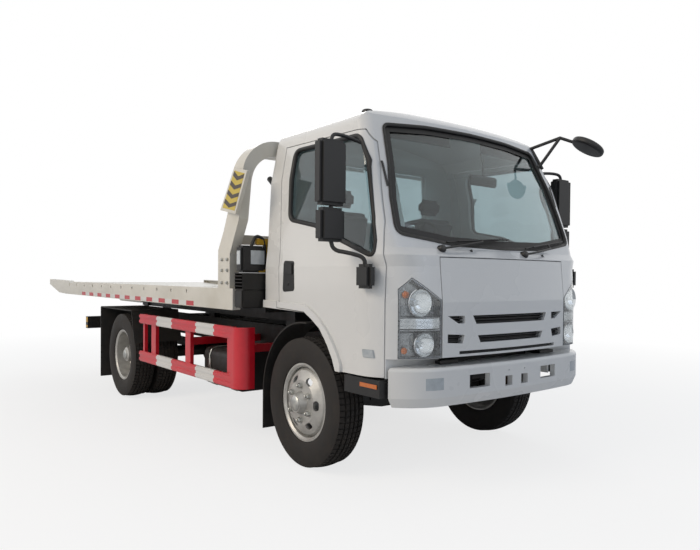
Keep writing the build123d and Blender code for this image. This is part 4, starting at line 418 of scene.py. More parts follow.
def skin(shape, rows, thickness):
    """Adds a curved sheet through rows of points, closed at its edges and given a thickness."""
    front, back = [
        [[shape.verts.new(Vector(point) + shift) for point in row] for row in rows]
        for shift in (Vector((0, 0, 0)), Vector(thickness))
    ]
    last_row, last = len(rows) - 1, len(rows[0]) - 1
    for row in range(last_row):
        for column in range(last):
            corners = ((row, column), (row, column + 1), (row + 1, column + 1), (row + 1, column))
            shape.faces.new([front[r][c] for r, c in corners])
            shape.faces.new([back[r][c] for r, c in corners[::-1]])
    border = [(0, column) for column in range(last)] + [(row, last) for row in range(last_row)]
    border += [(last_row, column) for column in range(last, 0, -1)]
    border += [(row, 0) for row in range(last_row, 0, -1)]
    for (r, c), (r2, c2) in zip(border, border[1:] + border[:1]):
        shape.faces.new((front[r][c], back[r][c], back[r2][c2], front[r2][c2]))


grained_plastic = mottled(
    "grained_black_plastic", {"IOR": 1.48},
    ("#141415", "#1a1a1b", "#202021"), 4.0, (0.4, 0.56), 0.15,
)
paint(
    grained_plastic,
    "dashboard", "steering_wheel", "roof_marker", "air_intake", "mirror_right", "mirror_left",
    "front_mirror", "door_steps",
)
# Amber and clear lamp mouldings: acrylic, clear-coloured, with a polished face.
amber_lens = mottled(
    "amber_lens", {"IOR": 1.49, "Coat Weight": 0.5, "Coat Roughness": 0.05},
    ("#c8641a", "#d57421"), 8.0, (0.1, 0.2), 0.2,
)
lamp_glass = mottled(
    "fluted_lamp_glass", {"IOR": 1.52, "Coat Weight": 0.8, "Coat Roughness": 0.03},
    ("#a9b0b4", "#bcc3c7"), 40.0, (0.05, 0.14),
)
SIDES = ((-1, "right"), (1, "left"))
WINDOW = (  # setback, height, corner radius
    (0.205, 1.676, 0.07), (0.222, 2.165, 0.06), (-0.52, 2.158, 0.09), (-0.636, 1.983, 0), (-0.725, 1.64, 0),
    (-0.752, 1.5, 0), (-0.75, 1.402, 0.04), (-0.448, 1.5, 0), (-0.12, 1.617, 0),
)
CHANNEL_SECTION = (  # how far inside the outline, how far inside the skin
    (-0.011, -0.001), (-0.009, -0.004), (0.006, -0.004), (0.016, 0.004), (0.016, 0.019), (0.001, 0.019),
    (0.001, 0.001),
)
HANDLE = ((0.092, 1.19), (0.098, 1.385), (0.226, 1.391), (0.233, 1.18))  # setback, height
HANDLE_CORNER = 0.02
HANDLE_SECTION = ((-0.004, -0.002), (-0.003, 0.003), (0.004, 0.005), (0.010, 0.004))
LEVER = ((0.108, 1.30), (0.112, 1.372), (0.212, 1.376), (0.216, 1.304))
LEVER_FACES = (0.012, 0.003)  # how far its face and its back stand off the door
LOCK = (0.165, 1.235)
LOCK_PROFILE = [(0, 0.013), (0.004, 0.013), (0.006, 0.010), (0.006, 0)]
VENT_Y = (0.822, 0.828, 0.834)
VENT_TOP, VENT_HEIGHT, VENT_ROWS = 1.984, 0.156, 9
REPEATER = ((-0.68, 0.814), (-0.672, 0.862), (-0.752, 0.862), (-0.76, 0.814))
window = finely(rounded([Vector(point[:2]) for point in WINDOW], [point[2] for point in WINDOW]))
handle = rounded([Vector(point) for point in HANDLE], [HANDLE_CORNER] * len(HANDLE), 4)
for side, side_name in SIDES:
    door = "door_" + side_name
    shape = bmesh.new()
    rings = [
        [shape.verts.new(on_side(setback, z, side, inset)) for setback, z in drawn_in(window, grow)]
        for grow, inset in CHANNEL_SECTION
    ]
    join_rings(shape, rings + rings[:1])
    add_piece("window_channel_" + side_name, shape, glazing_rubber, door, crease=60)
    shape = bmesh.new()
    rings = [
        [shape.verts.new(on_side(setback, z, side, -out)) for setback, z in drawn_in(handle, grow)]
        for grow, out in HANDLE_SECTION
    ]
    join_rings(shape, rings)
    shape.faces.new(rings[-1])
    lever = [on_side(setback, z, side, -out) for out in LEVER_FACES for setback, z in LEVER]
    bmesh.ops.convex_hull(shape, input=[shape.verts.new(point) for point in lever])
    turned(shape, LOCK_PROFILE, on_side(*LOCK, side, -0.001), (0, side, 0), 20)
    add_piece("door_handle_" + side_name, shape, grained_plastic, door, crease=40)
    shape = bmesh.new()
    vent = [
        [on_front(side * y, VENT_TOP - VENT_HEIGHT * row / (VENT_ROWS - 1), 0.001) for y in VENT_Y]
        for row in range(VENT_ROWS)
    ]
    skin(shape, vent, (0.005, 0, 0.001))
    add_piece("pillar_vents_" + side_name, shape, grained_plastic, "cab")
    shape = bmesh.new()
    corners = [on_side(setback, z, side, inset) for inset in (0.001, -0.009) for setback, z in REPEATER]
    bmesh.ops.convex_hull(shape, input=[shape.verts.new(point) for point in corners])
    bmesh.ops.bevel(shape, geom=shape.edges[:], offset=0.003, segments=2, affect="EDGES")
    add_piece("side_repeater_" + side_name, shape, lamp_glass, door)
    shape = bmesh.new()
    block(shape, place_at(-0.633, side * 0.9495, 0.637), place_at(-0.795, side * 0.9545, 0.662), 0.0015)
    add_piece("step_reflector_" + side_name, shape, amber_lens, "chassis")

# Mirrors: moulded housings on a bent tube between a base on the door and its top corner; each
# holds a silvered glass, facing back to the driver.
mirror_glass = mottled(
    "silvered_mirror_glass", {"Metallic": 1.0},
    ("#c8ccce", "#cfd3d5"), 300.0, (0.02, 0.05),
)
MIRROR_HEADS = ((1.702, 2.083, 0.0), (1.490, 1.688, 0.008))  # low, high, how much narrower each side is
MIRROR_GLASSES = ((1.725, 2.06), (1.512, 1.667))
MIRROR_ARMS = (  # radius, bends, then setback, y and z along the tube
    (
        0.0125, 2, (-0.73, 0.995, 1.34), (-0.73, 1.0, 1.40), (-0.66, 1.06, 1.425), (-0.575, 1.11, 1.44),
        (-0.562, 1.122, 1.50),
    ),
    (0.0125, 0, (-0.562, 1.122, 1.66), (-0.562, 1.122, 1.73)),
    (
        0.0115, 2, (-0.562, 1.122, 2.05), (-0.562, 1.118, 2.118), (-0.545, 1.04, 2.128),
        (-0.52, 0.92, 2.118), (-0.54, 0.872, 2.10),
    ),
)
for side, side_name in SIDES:
    shape = bmesh.new()
    for low, high, narrow in MIRROR_HEADS:
        near, far = side * (1.032 + narrow), side * (1.218 - narrow)
        block(shape, place_at(-0.518, near, low), place_at(-0.602, far, high), 0.018)
    block(shape, place_at(-0.664, side * 0.962, 1.219), place_at(-0.796, side * 1.022, 1.361), 0.018)
    for radius, bends, *arm in MIRROR_ARMS:
        hose(shape, [place_at(setback, side * y, z) for setback, y, z in arm], radius, 12, bends)
    name, door, plain = "mirror_heads_" + side_name, "door_" + side_name, ["mirror_" + side_name]
    add_piece(name, shape, grained_plastic, door, plain, crease=50)
    shape = bmesh.new()
    for low, high in MIRROR_GLASSES:
        block(shape, place_at(-0.5165, side * 1.058, low), place_at(-0.5195, side * 1.192, high), 0.0012)
    add_piece("mirror_glass_" + side_name, shape, mirror_glass, "door_" + side_name)

# Wipers: pressed arms on round caps, each with a thin blade whose rubber lies on the glass, and
# the two washer nozzles between them.
wiper_steel = mottled("black_wiper_steel", {"IOR": 1.5}, ("#121213", "#1b1b1c"), 12.0, (0.35, 0.5), 0.1)
WIPERS = ((-0.556, 1.458, 0.060, 1.541), (0.167, 1.443, 0.760, 1.560))  # y, z of pivot and of blade's end
WIPER_CAP = [(-0.01, 0.024), (0.022, 0.024), (0.030, 0.017), (0.030, 0)]
NOZZLE = [(-0.004, 0.009), (0.006, 0.009), (0.009, 0.004), (0.009, 0)]
BLADE_STEPS = 14
BLADE_START = (0.055, 0.045)  # from the pivot, in y and z
BRIDGE = Vector((0.014, 0, 0.003))  # from the blade's rubber to its spine
shape = bmesh.new()
for pivot_y, pivot_z, tip_y, tip_z in WIPERS:
    pivot = on_front(pivot_y, pivot_z)
    turned(shape, WIPER_CAP, pivot, (1, 0, 0.15), 20)
    elbow = on_front(pivot_y + 0.33, pivot_z + 0.055, -0.034)
    arm = [pivot + Vector((0.022, 0, 0.004)), pivot + Vector((0.036, 0.08, 0.016)), elbow]
    hose(shape, arm, 0.007, 8, bends=2)
    start_y, start_z = pivot_y + BLADE_START[0], pivot_z + BLADE_START[1]
    blade = []
    for step in range(BLADE_STEPS + 1):
        share = step / BLADE_STEPS
        y, z = start_y + (tip_y - start_y) * share, start_z + (tip_z - start_z) * share
        blade.append(on_front(y, z, -0.006))
    hose(shape, blade, 0.005, 6)
    spine = [point + BRIDGE for point in blade[2:-2]]
    hose(shape, spine, 0.0045, 6)
    for number in (3, 6, 8, 11):
        hose(shape, [blade[number], blade[number] + BRIDGE], 0.0035, 6)
    hose(shape, [elbow, spine[5]], 0.005, 6)
for y, z in ((-0.322, 1.453), (0.386, 1.442)):
    turned(shape, NOZZLE, on_front(y, z), (1, 0, 0.3), 12)
add_piece("wiper_set", shape, wiper_steel, "cab", ["wipers"], crease=50)

# Inside the cab: a driving mirror on a stalk, two folded sun visors and a grab handle, all moulded
# and screwed to the cab's frame round the windscreen.
def across_front(start, end, steps, edges):
    """Rows of points across the cab's front, one for each edge's height and inset."""
    places = [start + (end - start) * step / steps for step in range(steps + 1)]
    return [[on_front(y, z, inset) for y in places] for z, inset in edges]


STALK = ((0.09, 2.15, 0.035), (0.09, 2.05, 0.06), (0.09, 1.975, 0.10))  # y, z, how far inside the skin
GRAB_HANDLE = ((0.80, 1.98, 0.05), (0.79, 1.96, 0.085), (0.805, 1.80, 0.085), (0.82, 1.78, 0.05))
VISOR_EDGES = ((2.255, 0.05), (2.165, 0.075))
VISOR_INNER, VISOR_OUTER, VISOR_STEPS = 0.16, 0.66, 8
shape = bmesh.new()
hose(shape, [on_front(*point) for point in STALK], 0.006, 8, bends=1)
middle = on_front(0.09, 1.955, 0.105)
block(shape, middle + Vector((-0.012, -0.14, -0.036)), middle + Vector((0.012, 0.14, 0.036)), 0.01)
for side, _ in SIDES:
    visor = across_front(side * VISOR_INNER, side * VISOR_OUTER, VISOR_STEPS, VISOR_EDGES)
    skin(shape, visor, (-0.014, 0, 0))
hose(shape, [on_front(*point) for point in GRAB_HANDLE], 0.011, 10, bends=2)
add_piece("cab_fittings", shape, grained_plastic, "cab", crease=50)

# Headlamps: a moulded silver case with two chromed bowls, bulb caps, an amber turn lamp, a ribbed
# silver band between them and one clear cover that follows the cab's corner.
lamp_chrome = mottled("lamp_chrome", {"Metallic": 1.0}, ("#c4c8cb", "#d2d5d7"), 30.0, (0.06, 0.14))
clear_cover = mottled(
    "clear_polycarbonate", {"IOR": 1.58, "Transmission Weight": 1.0},
    ("#f2f5f6", "#f8f9fa"), 400.0, (0.0, 0.03),
)
lamp_case = mottled(
    "silver_lamp_case", {"Metallic": 0.7},
    ("#85898d", "#93979a"), 20.0, (0.22, 0.34), 0.1,
)
LAMP = ((0.604, 1.156), (0.604, 0.814), (0.862, 0.814), (0.862, 1.218), (0.792, 1.286))  # y, z
INNER_SLOPE = (0.792 - 0.604) / (1.286 - 1.156)
OUTER_SLOPE = (0.862 - 0.792) / (1.286 - 1.218)
LAMP_ROWS, LAMP_COLUMNS = 16, 12
LEAST_WIDTH = 0.004
BOWLS = ((0.742, 1.138, 0.083), (0.716, 0.893, 0.072))  # y, z, radius
DIVIDERS = ((0.982, 0.966, 0.006), (1.052, 1.060, 0.004))  # front and back edge's height, thickness
TURN_LAMPS = (  # y, z, profile
    (0.815, 1.185, [(0, 0.022), (0.01, 0.021), (0.018, 0.012), (0.02, 0)]),
    (0.822, 0.86, [(0, 0.02), (0.009, 0.019), (0.016, 0.01), (0.017, 0)]),
)
RIBS, RIB_PITCH = 9, 0.0075


def lamp_sheet(side, low, high, inner_y, outer_y, outer_bend, inset):
    """Rows of points over the lamp's outline, between two heights, at a depth behind the skin."""
    grid = []
    for row in range(LAMP_ROWS + 1):
        z = low + (high - low) * row / LAMP_ROWS
        low_y = inner_y + max(z - LAMP[0][1], 0) * INNER_SLOPE
        width = max(outer_y - max(z - outer_bend, 0) * OUTER_SLOPE - low_y, LEAST_WIDTH)
        grid += across_front(side * low_y, side * (low_y + width), LAMP_COLUMNS, ((z, inset),))
    return grid


for side, side_name in SIDES:
    outline = finely([Vector((side * y, z)) for y, z in LAMP], 0.03)
    shape = bmesh.new()
    skin(shape, lamp_sheet(side, 0.822, 1.276, 0.612, 0.855, 1.214, 0.0015), (-0.003, -side * 0.001, 0))
    add_piece("headlamp_cover_" + side_name, shape, clear_cover, "cab")
    shape = bmesh.new()
    skin(shape, lamp_sheet(side, 0.8195, 1.280, 0.609, 0.858, 1.218, 0.064), (-0.004, 0, 0))
    edge = drawn_in(outline, 0.0035)
    outer = [on_front(y, z, 0.001) for y, z in edge]
    inner = [on_front(y, z, 0.001) for y, z in drawn_in(outline, 0.0095)]
    ring_between(shape, outer, inner, [on_front(y, z, 0.066) - point for point, (y, z) in zip(outer, edge)])
    for front_z, back_z, thickness in DIVIDERS:
        divider = across_front(side * 0.612, side * 0.854, 10, ((front_z, 0.006), (back_z, 0.06)))
        skin(shape, divider, (0, 0, -thickness))
    replaced = ["headlamps"] if side < 0 else ()
    add_piece("headlamp_case_" + side_name, shape, lamp_case, "cab", replaced)
    shape = bmesh.new()
    for y, z, radius in BOWLS:
        profile = [(0.0, radius), (0.004, radius - 0.003), (-0.012, radius - 0.012), (-0.034, radius * 0.55)]
        profile += [(-0.045, 0.016), (-0.022, 0.015), (-0.014, 0.009), (-0.012, 0)]
        turned(shape, profile, on_front(side * y, z, 0.016), (1, side * 0.12, 0), 40)
    for number in range(RIBS):
        ribs = across_front(side * 0.616, side * 0.846, 10, ((0.99 + RIB_PITCH * number, 0.010),))
        hose(shape, ribs[0], 0.0034, 6)
    add_piece("headlamp_reflectors_" + side_name, shape, lamp_chrome, "cab")
    shape = bmesh.new()
    for y, z, profile in TURN_LAMPS:
        turned(shape, profile, on_front(side * y, z, 0.022), (1, side * 0.3, 0), 20)
    add_piece("turn_lamp_bulb_" + side_name, shape, amber_lens, "cab")

# Grille: black moulded inserts with slanted vanes, clipped behind the lid's openings. Each is a
# back plate that follows the lid's bow and the vanes that stand out from it.
INSERTS = (  # y of both ends, low, high, vanes, steps across
    (-0.372, 0.372, 0.995, 1.066, 3, 24), (-0.33, 0.33, 0.882, 0.943, 2, 24),
    (-0.475, 0.475, 0.818, 0.853, 1, 24),
    (-0.424, -0.566, 1.005, 1.064, 2, 6), (-0.424, -0.566, 0.883, 0.956, 2, 6),
    (0.424, 0.566, 1.005, 1.064, 2, 6), (0.424, 0.566, 0.883, 0.956, 2, 6),
)
INSERT_BACK, VANE_FRONT = 0.046, 0.018  # how far inside the skin
VANE_DROP = 0.010
shape = bmesh.new()
for start, end, low, high, vanes, steps in INSERTS:
    sheet = across_front(start, end, steps, ((low, INSERT_BACK), (high, INSERT_BACK)))
    skin(shape, sheet, (-0.006, 0, 0))
    for number in range(vanes):
        z = low + (high - low) * (number + 1) / (vanes + 1)
        vane = across_front(start, end, steps, ((z, VANE_FRONT), (z - VANE_DROP, INSERT_BACK)))
        skin(shape, vane, (0, 0, -0.004))
add_piece("grille_inserts", shape, grained_plastic, "front_lid")

# Bumper: the plate's brown, dusty bracket behind its slots, black plates behind the tow holes as
# painted shade that darkens the holes, and the glass of the fog lamps.
dusty_bracket = mottled(
    "dusty_bracket_enamel", {"IOR": 1.5},
    ("#4e3d33", "#5a4638", "#665041"), 30.0, (0.55, 0.75), 0.2,
)
shape = bmesh.new()
block(shape, place_at(-0.975, -0.125, 0.60), place_at(-0.985, 0.125, 0.682), 0.003)
add_piece("plate_bracket", shape, dusty_bracket, "chassis")
# Painted shade: thin black plates behind the tow holes that make the holes look dark.
shape = bmesh.new()
for side, _ in SIDES:
    block(shape, place_at(-0.862, side * 0.225, 0.60), place_at(-0.868, side * 0.45, 0.722), 0.002)
add_piece("tow_hole_shade_plates", shape, chassis_enamel, "chassis")
paint(lamp_glass, "fog_lamps")

# Seats: moulded foam under woven cloth, pulled tight over a pressed frame: a cushion, a back and
# a headrest for the driver and for the other seat. The cloth bulges a little between its seams.
seat_cloth = mottled(
    "woven_seat_cloth", {"IOR": 1.45, "Sheen Weight": 0.25, "Sheen Roughness": 0.5},
    ("#2b2d31", "#34363b", "#3c3f44"), 3.0, (0.75, 0.9), 0.3,
)
FOAM_BEVEL = 0.035
VOXEL = 0.014
PINNED_HEIGHT = 0.02
PRESSURE = 4.0
FRAMES = 20
FURTHEST = 0.022  # the cloth moves no further than this
SEAT_Y = 0.45
FOAMS = (  # name, setbacks, half width, low, high, lean in degrees
    ("seat_cushion_", 0.235, -0.225, 0.215, 1.16, 1.31, -4),
    ("seat_back_", 0.285, 0.175, 0.205, 1.30, 1.79, 6),
    ("headrest_", 0.305, 0.225, 0.125, 1.80, 1.935, 6),
)


def blow_up(piece):
    """Lets the cloth swell under a light pressure and keeps the shape that it takes."""
    pins = piece.vertex_groups.new(name="pins")
    lowest = min(vert.co.z for vert in piece.data.vertices)
    pins.add([v.index for v in piece.data.vertices if v.co.z < lowest + PINNED_HEIGHT], 1.0, "REPLACE")
    cloth = piece.modifiers.new("cloth", "CLOTH")
    cloth.settings.use_pressure = True
    cloth.settings.uniform_pressure_force = PRESSURE
    cloth.settings.effector_weights.gravity = 0.0
    cloth.settings.vertex_group_mass = "pins"
    cloth.point_cache.frame_start, cloth.point_cache.frame_end = 1, FRAMES
    rest = [vert.co.copy() for vert in piece.data.vertices]
    for number in range(1, FRAMES + 1):
        bpy.context.scene.frame_set(number)
        bpy.context.view_layer.update()
    shaped = piece.evaluated_get(bpy.context.evaluated_depsgraph_get()).data
    moved = [vert.co.copy() for vert in shaped.vertices]
    piece.modifiers.remove(cloth)
    for vert, start, end in zip(piece.data.vertices, rest, moved):
        run = end - start
        vert.co = start + run.normalized() * min(run.length, FURTHEST) if run.length else start
    bpy.context.scene.frame_set(1)


def cushion(name, low, high, lean, replaced=()):
    """A foam cushion: a rounded, leaning block, meshed evenly and blown up by a short simulation."""
    shape = bmesh.new()
    middle = (Vector(low) + Vector(high)) / 2
    block(shape, low, high, FOAM_BEVEL)
    turn = Matrix.Rotation(math.radians(lean), 3, "Y")
    bmesh.ops.rotate(shape, verts=shape.verts, cent=middle, matrix=turn)
    piece = add_piece(name, shape, seat_cloth, "cab", replaced)
    bpy.context.view_layer.objects.active = piece
    remesh = piece.modifiers.new("even", "REMESH")
    remesh.mode = "VOXEL"
    remesh.voxel_size = VOXEL
    even = bpy.data.meshes.new_from_object(piece.evaluated_get(bpy.context.evaluated_depsgraph_get()))
    even.materials.clear()
    even.materials.append(seat_cloth)
    piece.modifiers.clear()
    piece.data = even
    blow_up(piece)
    piece.data.shade_smooth()


for side, side_name in SIDES:
    for name, back, front, half, low, high, lean in FOAMS:
        replaced = ["seats"] if side < 0 and name == "seat_cushion_" else ()
        near, far = place_at(back, side * SEAT_Y - half, low), place_at(front, side * SEAT_Y + half, high)
        cushion(name + side_name, near, far, lean, replaced)

# Tyres: radial truck rubber with four grooves round the tread and cross slots, deeper on the
# shoulders. Each is moulded in one piece and lies on its rim; the rear ones stand in pairs.
tyre_rubber = mottled(
    "tyre_rubber", {"IOR": 1.5, "Specular IOR Level": 0.35},
    ("#1c1a19", "#262321", "#312d2a"), 70.0, (0.62, 0.82), 0.4,
)
wheel_silver = mottled(
    "silver_wheel_enamel", {"Metallic": 0.5},
    ("#a4a39f", "#b6b5b1", "#c2c1bd"), 80.0, (0.34, 0.5), 0.2,
)
REAR_AXLE_X = FRONT_AXLE_X - 3.365
FRONT_WHEEL_Y, REAR_OUTER_Y, REAR_INNER_Y = 0.856, 0.964, 0.719
TYRE_Z = 0.441
TREAD_PITCHES = 70
SLOT = ((0.0, False), (0.12, False), (0.16, True), (0.30, True), (0.34, False))  # share of a pitch, cut
SIDEWALL = (  # across, radius
    (0.0765, 0.2635), (0.0905, 0.268), (0.0985, 0.285), (0.1035, 0.312), (0.1065, 0.345), (0.1062, 0.362),
    (0.1040, 0.392), (0.1000, 0.414), (0.0935, 0.430),
)
TREAD = (  # across, and whether it lies on a groove's floor
    (0.0915, False), (0.0765, False), (0.0585, False), (0.0565, True), (0.0475, True), (0.0455, False),
    (0.0225, False), (0.0215, True), (0.0125, True), (0.0115, False),
)
HALF_TREAD = 0.0925
CROWN_GAP, CROWN_FALL = 0.0008, 0.015  # above the ground at the middle, and how much more at the edge
GROOVE_DEPTH, SHOULDER_CUT, MIDDLE_CUT = 0.012, 0.009, 0.005
SHOULDER_START, MIDDLE_END = 0.055, 0.05
TREAD_RADIUS = 0.42  # slots are only cut further out than this
BEAD, BEAD_RADIUS = 0.07, 0.275


def tyre(shape, x, y):
    """Adds one treaded tyre standing on the ground at this place."""
    wall = [(across, radius, False) for across, radius in SIDEWALL]
    profile = list(wall)
    for across, groove in [*TREAD, *[(-a, g) for a, g in reversed(TREAD)]]:
        profile.append((across, TYRE_Z - CROWN_GAP - CROWN_FALL * (across / HALF_TREAD) ** 2, groove))
    profile += [(-across, radius, False) for across, radius, _ in reversed(wall)]
    profile += [(-BEAD, BEAD_RADIUS, False), (BEAD, BEAD_RADIUS, False)]
    rings = []
    for pitch in range(TREAD_PITCHES):
        for share, cut in SLOT:
            angle = math.tau * (pitch + share) / TREAD_PITCHES
            ring = []
            for across, radius, groove in profile:
                depth = GROOVE_DEPTH if groove else 0.0
                if cut and radius > TREAD_RADIUS:
                    if SHOULDER_START < abs(across) < HALF_TREAD:
                        depth = max(depth, SHOULDER_CUT)
                    elif abs(across) < MIDDLE_END:
                        depth = max(depth, MIDDLE_CUT)
                r = radius - depth
                place = (x + r * math.cos(angle), y + across, TYRE_Z + r * math.sin(angle))
                ring.append(shape.verts.new(place))
            rings.append(ring)
    join_rings(shape, rings + rings[:1])


WHEELS = (  # piece, wheel's body, the plain tyre that it replaces, x, distances from the truck's middle
    ("tread_front_", "wheel_front_", "tyre_front_", FRONT_AXLE_X, (FRONT_WHEEL_Y,)),
    ("treads_rear_", "wheels_rear_", "tyres_rear_", REAR_AXLE_X, (REAR_OUTER_Y, REAR_INNER_Y)),
)
for side, side_name in SIDES:
    for name, body, plain, x, distances in WHEELS:
        shape = bmesh.new()
        for distance in distances:
            tyre(shape, x, side * distance)
        add_piece(name + side_name, shape, tyre_rubber, body + side_name, [plain + side_name])
    paint(wheel_silver, "rim_front_" + side_name, "rims_rear_" + side_name)
    paint(tyre_rubber, "tyre_front_" + side_name, "tyres_rear_" + side_name)

# Wheel nuts: hexagon nuts on a wider foot, zinc-plated and screwed onto studs, and a pressed cap
# over each hub.
NUTS = 6
NUT_PROFILE = [(-0.004, 0.023), (0.003, 0.023), (0.003, 0.019), (0.022, 0.0185), (0.025, 0.016), (0.025, 0)]
STUD_PROFILE = [(0.02, 0.0105), (0.036, 0.0105), (0.038, 0.008), (0.038, 0)]
HUB_CAP = [(-0.01, 0.052), (0.004, 0.052), (0.010, 0.044), (0.013, 0.02), (0.013, 0)]
NUT_CIRCLES = (  # piece, wheel's body, x, y, how far out the nuts are, their radius, how far out the cap
    ("wheel_nuts_front_", "wheel_front_", FRONT_AXLE_X, FRONT_WHEEL_Y, 0.107, 0.115, 0.152),
    ("wheel_nuts_rear_", "wheels_rear_", REAR_AXLE_X, REAR_OUTER_Y, -0.106, 0.130, 0.062),
)
for side, side_name in SIDES:
    for name, body, x, y, out, radius, cap_out in NUT_CIRCLES:
        shape = bmesh.new()
        for number in range(NUTS):
            angle = math.tau * (number + 0.5) / NUTS
            foot = (x + radius * math.cos(angle), side * (y + out), TYRE_Z + radius * math.sin(angle))
            turned(shape, NUT_PROFILE, foot, (0, side, 0), 6)
            turned(shape, STUD_PROFILE, foot, (0, side, 0), 12)
        turned(shape, HUB_CAP, (x, side * (y + cap_out), TYRE_Z), (0, side, 0))
        add_piece(name + side_name, shape, zinc_plate, body + side_name)

# Mudguards: black plastic, toughened with rubber, moulded to the tyres' curve and hung over them
# from bolted tubes.
mud_rubber = mottled(
    "mudguard_rubber", {"IOR": 1.5},
    ("#121212", "#1a1918", "#2a2622"), 120.0, (0.55, 0.8), 0.5,
)
paint(mud_rubber, "front_mudguards", "rear_mudguards")

# Deck and gantry: folded steel plate, welded and sprayed with cream-white enamel. The deck's plate
# has raised chequer bars, rolled into it, that keep tyres from slipping.
bed_enamel = mottled(
    "cream_bed_enamel", {"IOR": 1.5, "Coat Weight": 0.3, "Coat Roughness": 0.15},
    ("#cbc6b9", "#d5d1c6", "#dcd8ce"), 350.0, (0.32, 0.48), 0.1,
)
paint(bed_enamel, "deck", "gantry")
BAR_PITCH = 0.12
BAR_LEAN, BAR_HALF_LENGTH, BAR_HALF_WIDTH = 0.012, 0.02, 0.004
BAR_FOOT, BAR_CREST = 1.1302, 1.1328  # heights
BARS_FROM, BARS_TO = 1.16, 5.0  # setbacks
BARS_RIGHT, BARS_LEFT = -1.02, 1.03  # y
BAR_FACES = ((0, 1, 4), (1, 5, 4), (1, 2, 5), (2, 3, 5), (3, 4, 5), (3, 0, 4))  # 0-3 foot, 4-5 crest
shape = bmesh.new()
row = 0
x = FRONT_AXLE_X - BARS_FROM
while x > FRONT_AXLE_X - BARS_TO:
    lean = BAR_LEAN if row % 2 else -BAR_LEAN
    y = BARS_RIGHT + (BAR_PITCH / 2 if row % 2 else 0)
    while y < BARS_LEFT:
        start, end = Vector((x + lean, y - BAR_HALF_LENGTH, 0)), Vector((x - lean, y + BAR_HALF_LENGTH, 0))
        run, middle = end - start, (start + end) / 2
        across = Vector((-run.y, run.x, 0)).normalized() * BAR_HALF_WIDTH
        foot = (start, middle + across, end, middle - across)
        corners = [shape.verts.new((p.x, p.y, BAR_FOOT)) for p in foot]
        for p in (start * 0.8 + end * 0.2, start * 0.2 + end * 0.8):
            corners.append(shape.verts.new((p.x, p.y, BAR_CREST)))
        for face in BAR_FACES:
            shape.faces.new([corners[number] for number in face])
        y += BAR_PITCH
    x -= BAR_PITCH / 2
    row += 1
add_piece("deck_chequer_bars", shape, bed_enamel, "bed", crease=20)

# Reflective tape on the bed's rails: film with glass beads in it, cut in red and silver-white
# lengths and stuck on by turns.
red_tape = mottled(
    "red_reflective_tape", {"IOR": 1.5, "Coat Weight": 0.4, "Coat Roughness": 0.2},
    ("#b5141f", "#c41a26"), 6.0, (0.3, 0.42), 0.1,
)
white_tape = mottled(
    "white_reflective_tape", {"IOR": 1.5, "Coat Weight": 0.4, "Coat Roughness": 0.2},
    ("#d4d3ce", "#dddcd8"), 6.0, (0.3, 0.42), 0.1,
)
TAPE_LENGTH, TAPE_STEP = 0.147, 0.3086
TAPE_LOW, TAPE_HIGH = 1.041, 1.079
TAPE_Y, TAPE_HALF_THICKNESS, TAPE_BEVEL = 1.1442, 0.0006, 0.0002
TAPES = (  # piece, material, finish, first setback, how many lengths
    ("red_tape_", red_tape, "guard_red", 1.331, 11), ("white_tape_", white_tape, "bed_cream", 1.481, 10),
)
for side, side_name in SIDES:
    y_low, y_high = side * TAPE_Y - TAPE_HALF_THICKNESS, side * TAPE_Y + TAPE_HALF_THICKNESS
    for name, material, finish, first, count in TAPES:
        shape = bmesh.new()
        for number in range(count):
            start = first + TAPE_STEP * number
            back, front = place_at(start + TAPE_LENGTH, y_low, TAPE_LOW), place_at(start, y_high, TAPE_HIGH)
            block(shape, back, front, TAPE_BEVEL)
        add_piece(name + side_name, shape, material, "bed")

# Warning boards on the gantry: folded boxes in the bed's enamel with yellow sheeting on their
# outer faces and dark chevrons printed on it.
def plate(shape, outline, thickness):
    """Adds a flat plate: an outline of points, drawn out along a vector."""
    front = [shape.verts.new(Vector(point)) for point in outline]
    back = [shape.verts.new(Vector(point) + Vector(thickness)) for point in outline]
    shape.faces.new(front)
    shape.faces.new(back[::-1])
    for number in range(len(outline)):
        after = (number + 1) % len(outline)
        shape.faces.new((front[number], back[number], back[after], front[after]))


paint(bed_enamel, "warning_boards")
yellow_sheeting = mottled(
    "yellow_sheeting", {"IOR": 1.5, "Coat Weight": 0.3, "Coat Roughness": 0.2},
    ("#c4aa28", "#ccb22e"), 5.0, (0.35, 0.5), 0.05,
)
chevron_ink = mottled("dark_chevron_ink", {"IOR": 1.5}, ("#423932", "#4c4239"), 8.0, (0.4, 0.55), 0.05)
BOARD = ((0.800, 1.770), (0.560, 1.725), (0.385, 2.012), (0.580, 2.060))  # setback, height
BOARD_MARGIN = 0.022
SHEET_Y, SHEET_THICKNESS = 1.1686, 0.0012
INK_Y, INK_THICKNESS = 1.1698, 0.0008
CHEVRONS, FIRST_CHEVRON, CHEVRON_STEP = 4, 0.04, 0.245
CHEVRON = (  # its two bars; each corner as shares across the board and along it
    ((0, 0.10), (0.5, 0), (0.5, 0.11), (0, 0.21)),
    ((0.5, 0), (1, 0.10), (1, 0.21), (0.5, 0.11)),
)
for side, side_name in SIDES:
    corners = drawn_in([Vector(point) for point in BOARD], BOARD_MARGIN)
    shape = bmesh.new()
    plate(shape, [place_at(p.x, side * SHEET_Y, p.y) for p in corners], (0, side * SHEET_THICKNESS, 0))
    add_piece("board_sheet_" + side_name, shape, yellow_sheeting, "bed")
    shape = bmesh.new()
    a, b, c, d = corners
    for number in range(CHEVRONS):
        for bar in CHEVRON:
            points = []
            for across, up in bar:
                along = min(FIRST_CHEVRON + CHEVRON_STEP * number + up, 1)
                left, right = a + (d - a) * along, b + (c - b) * along
                points.append(left + (right - left) * across)
            plate(shape, [place_at(p.x, side * INK_Y, p.y) for p in points], (0, side * INK_THICKNESS, 0))
    add_piece("board_chevrons_" + side_name, shape, chevron_ink, "bed")

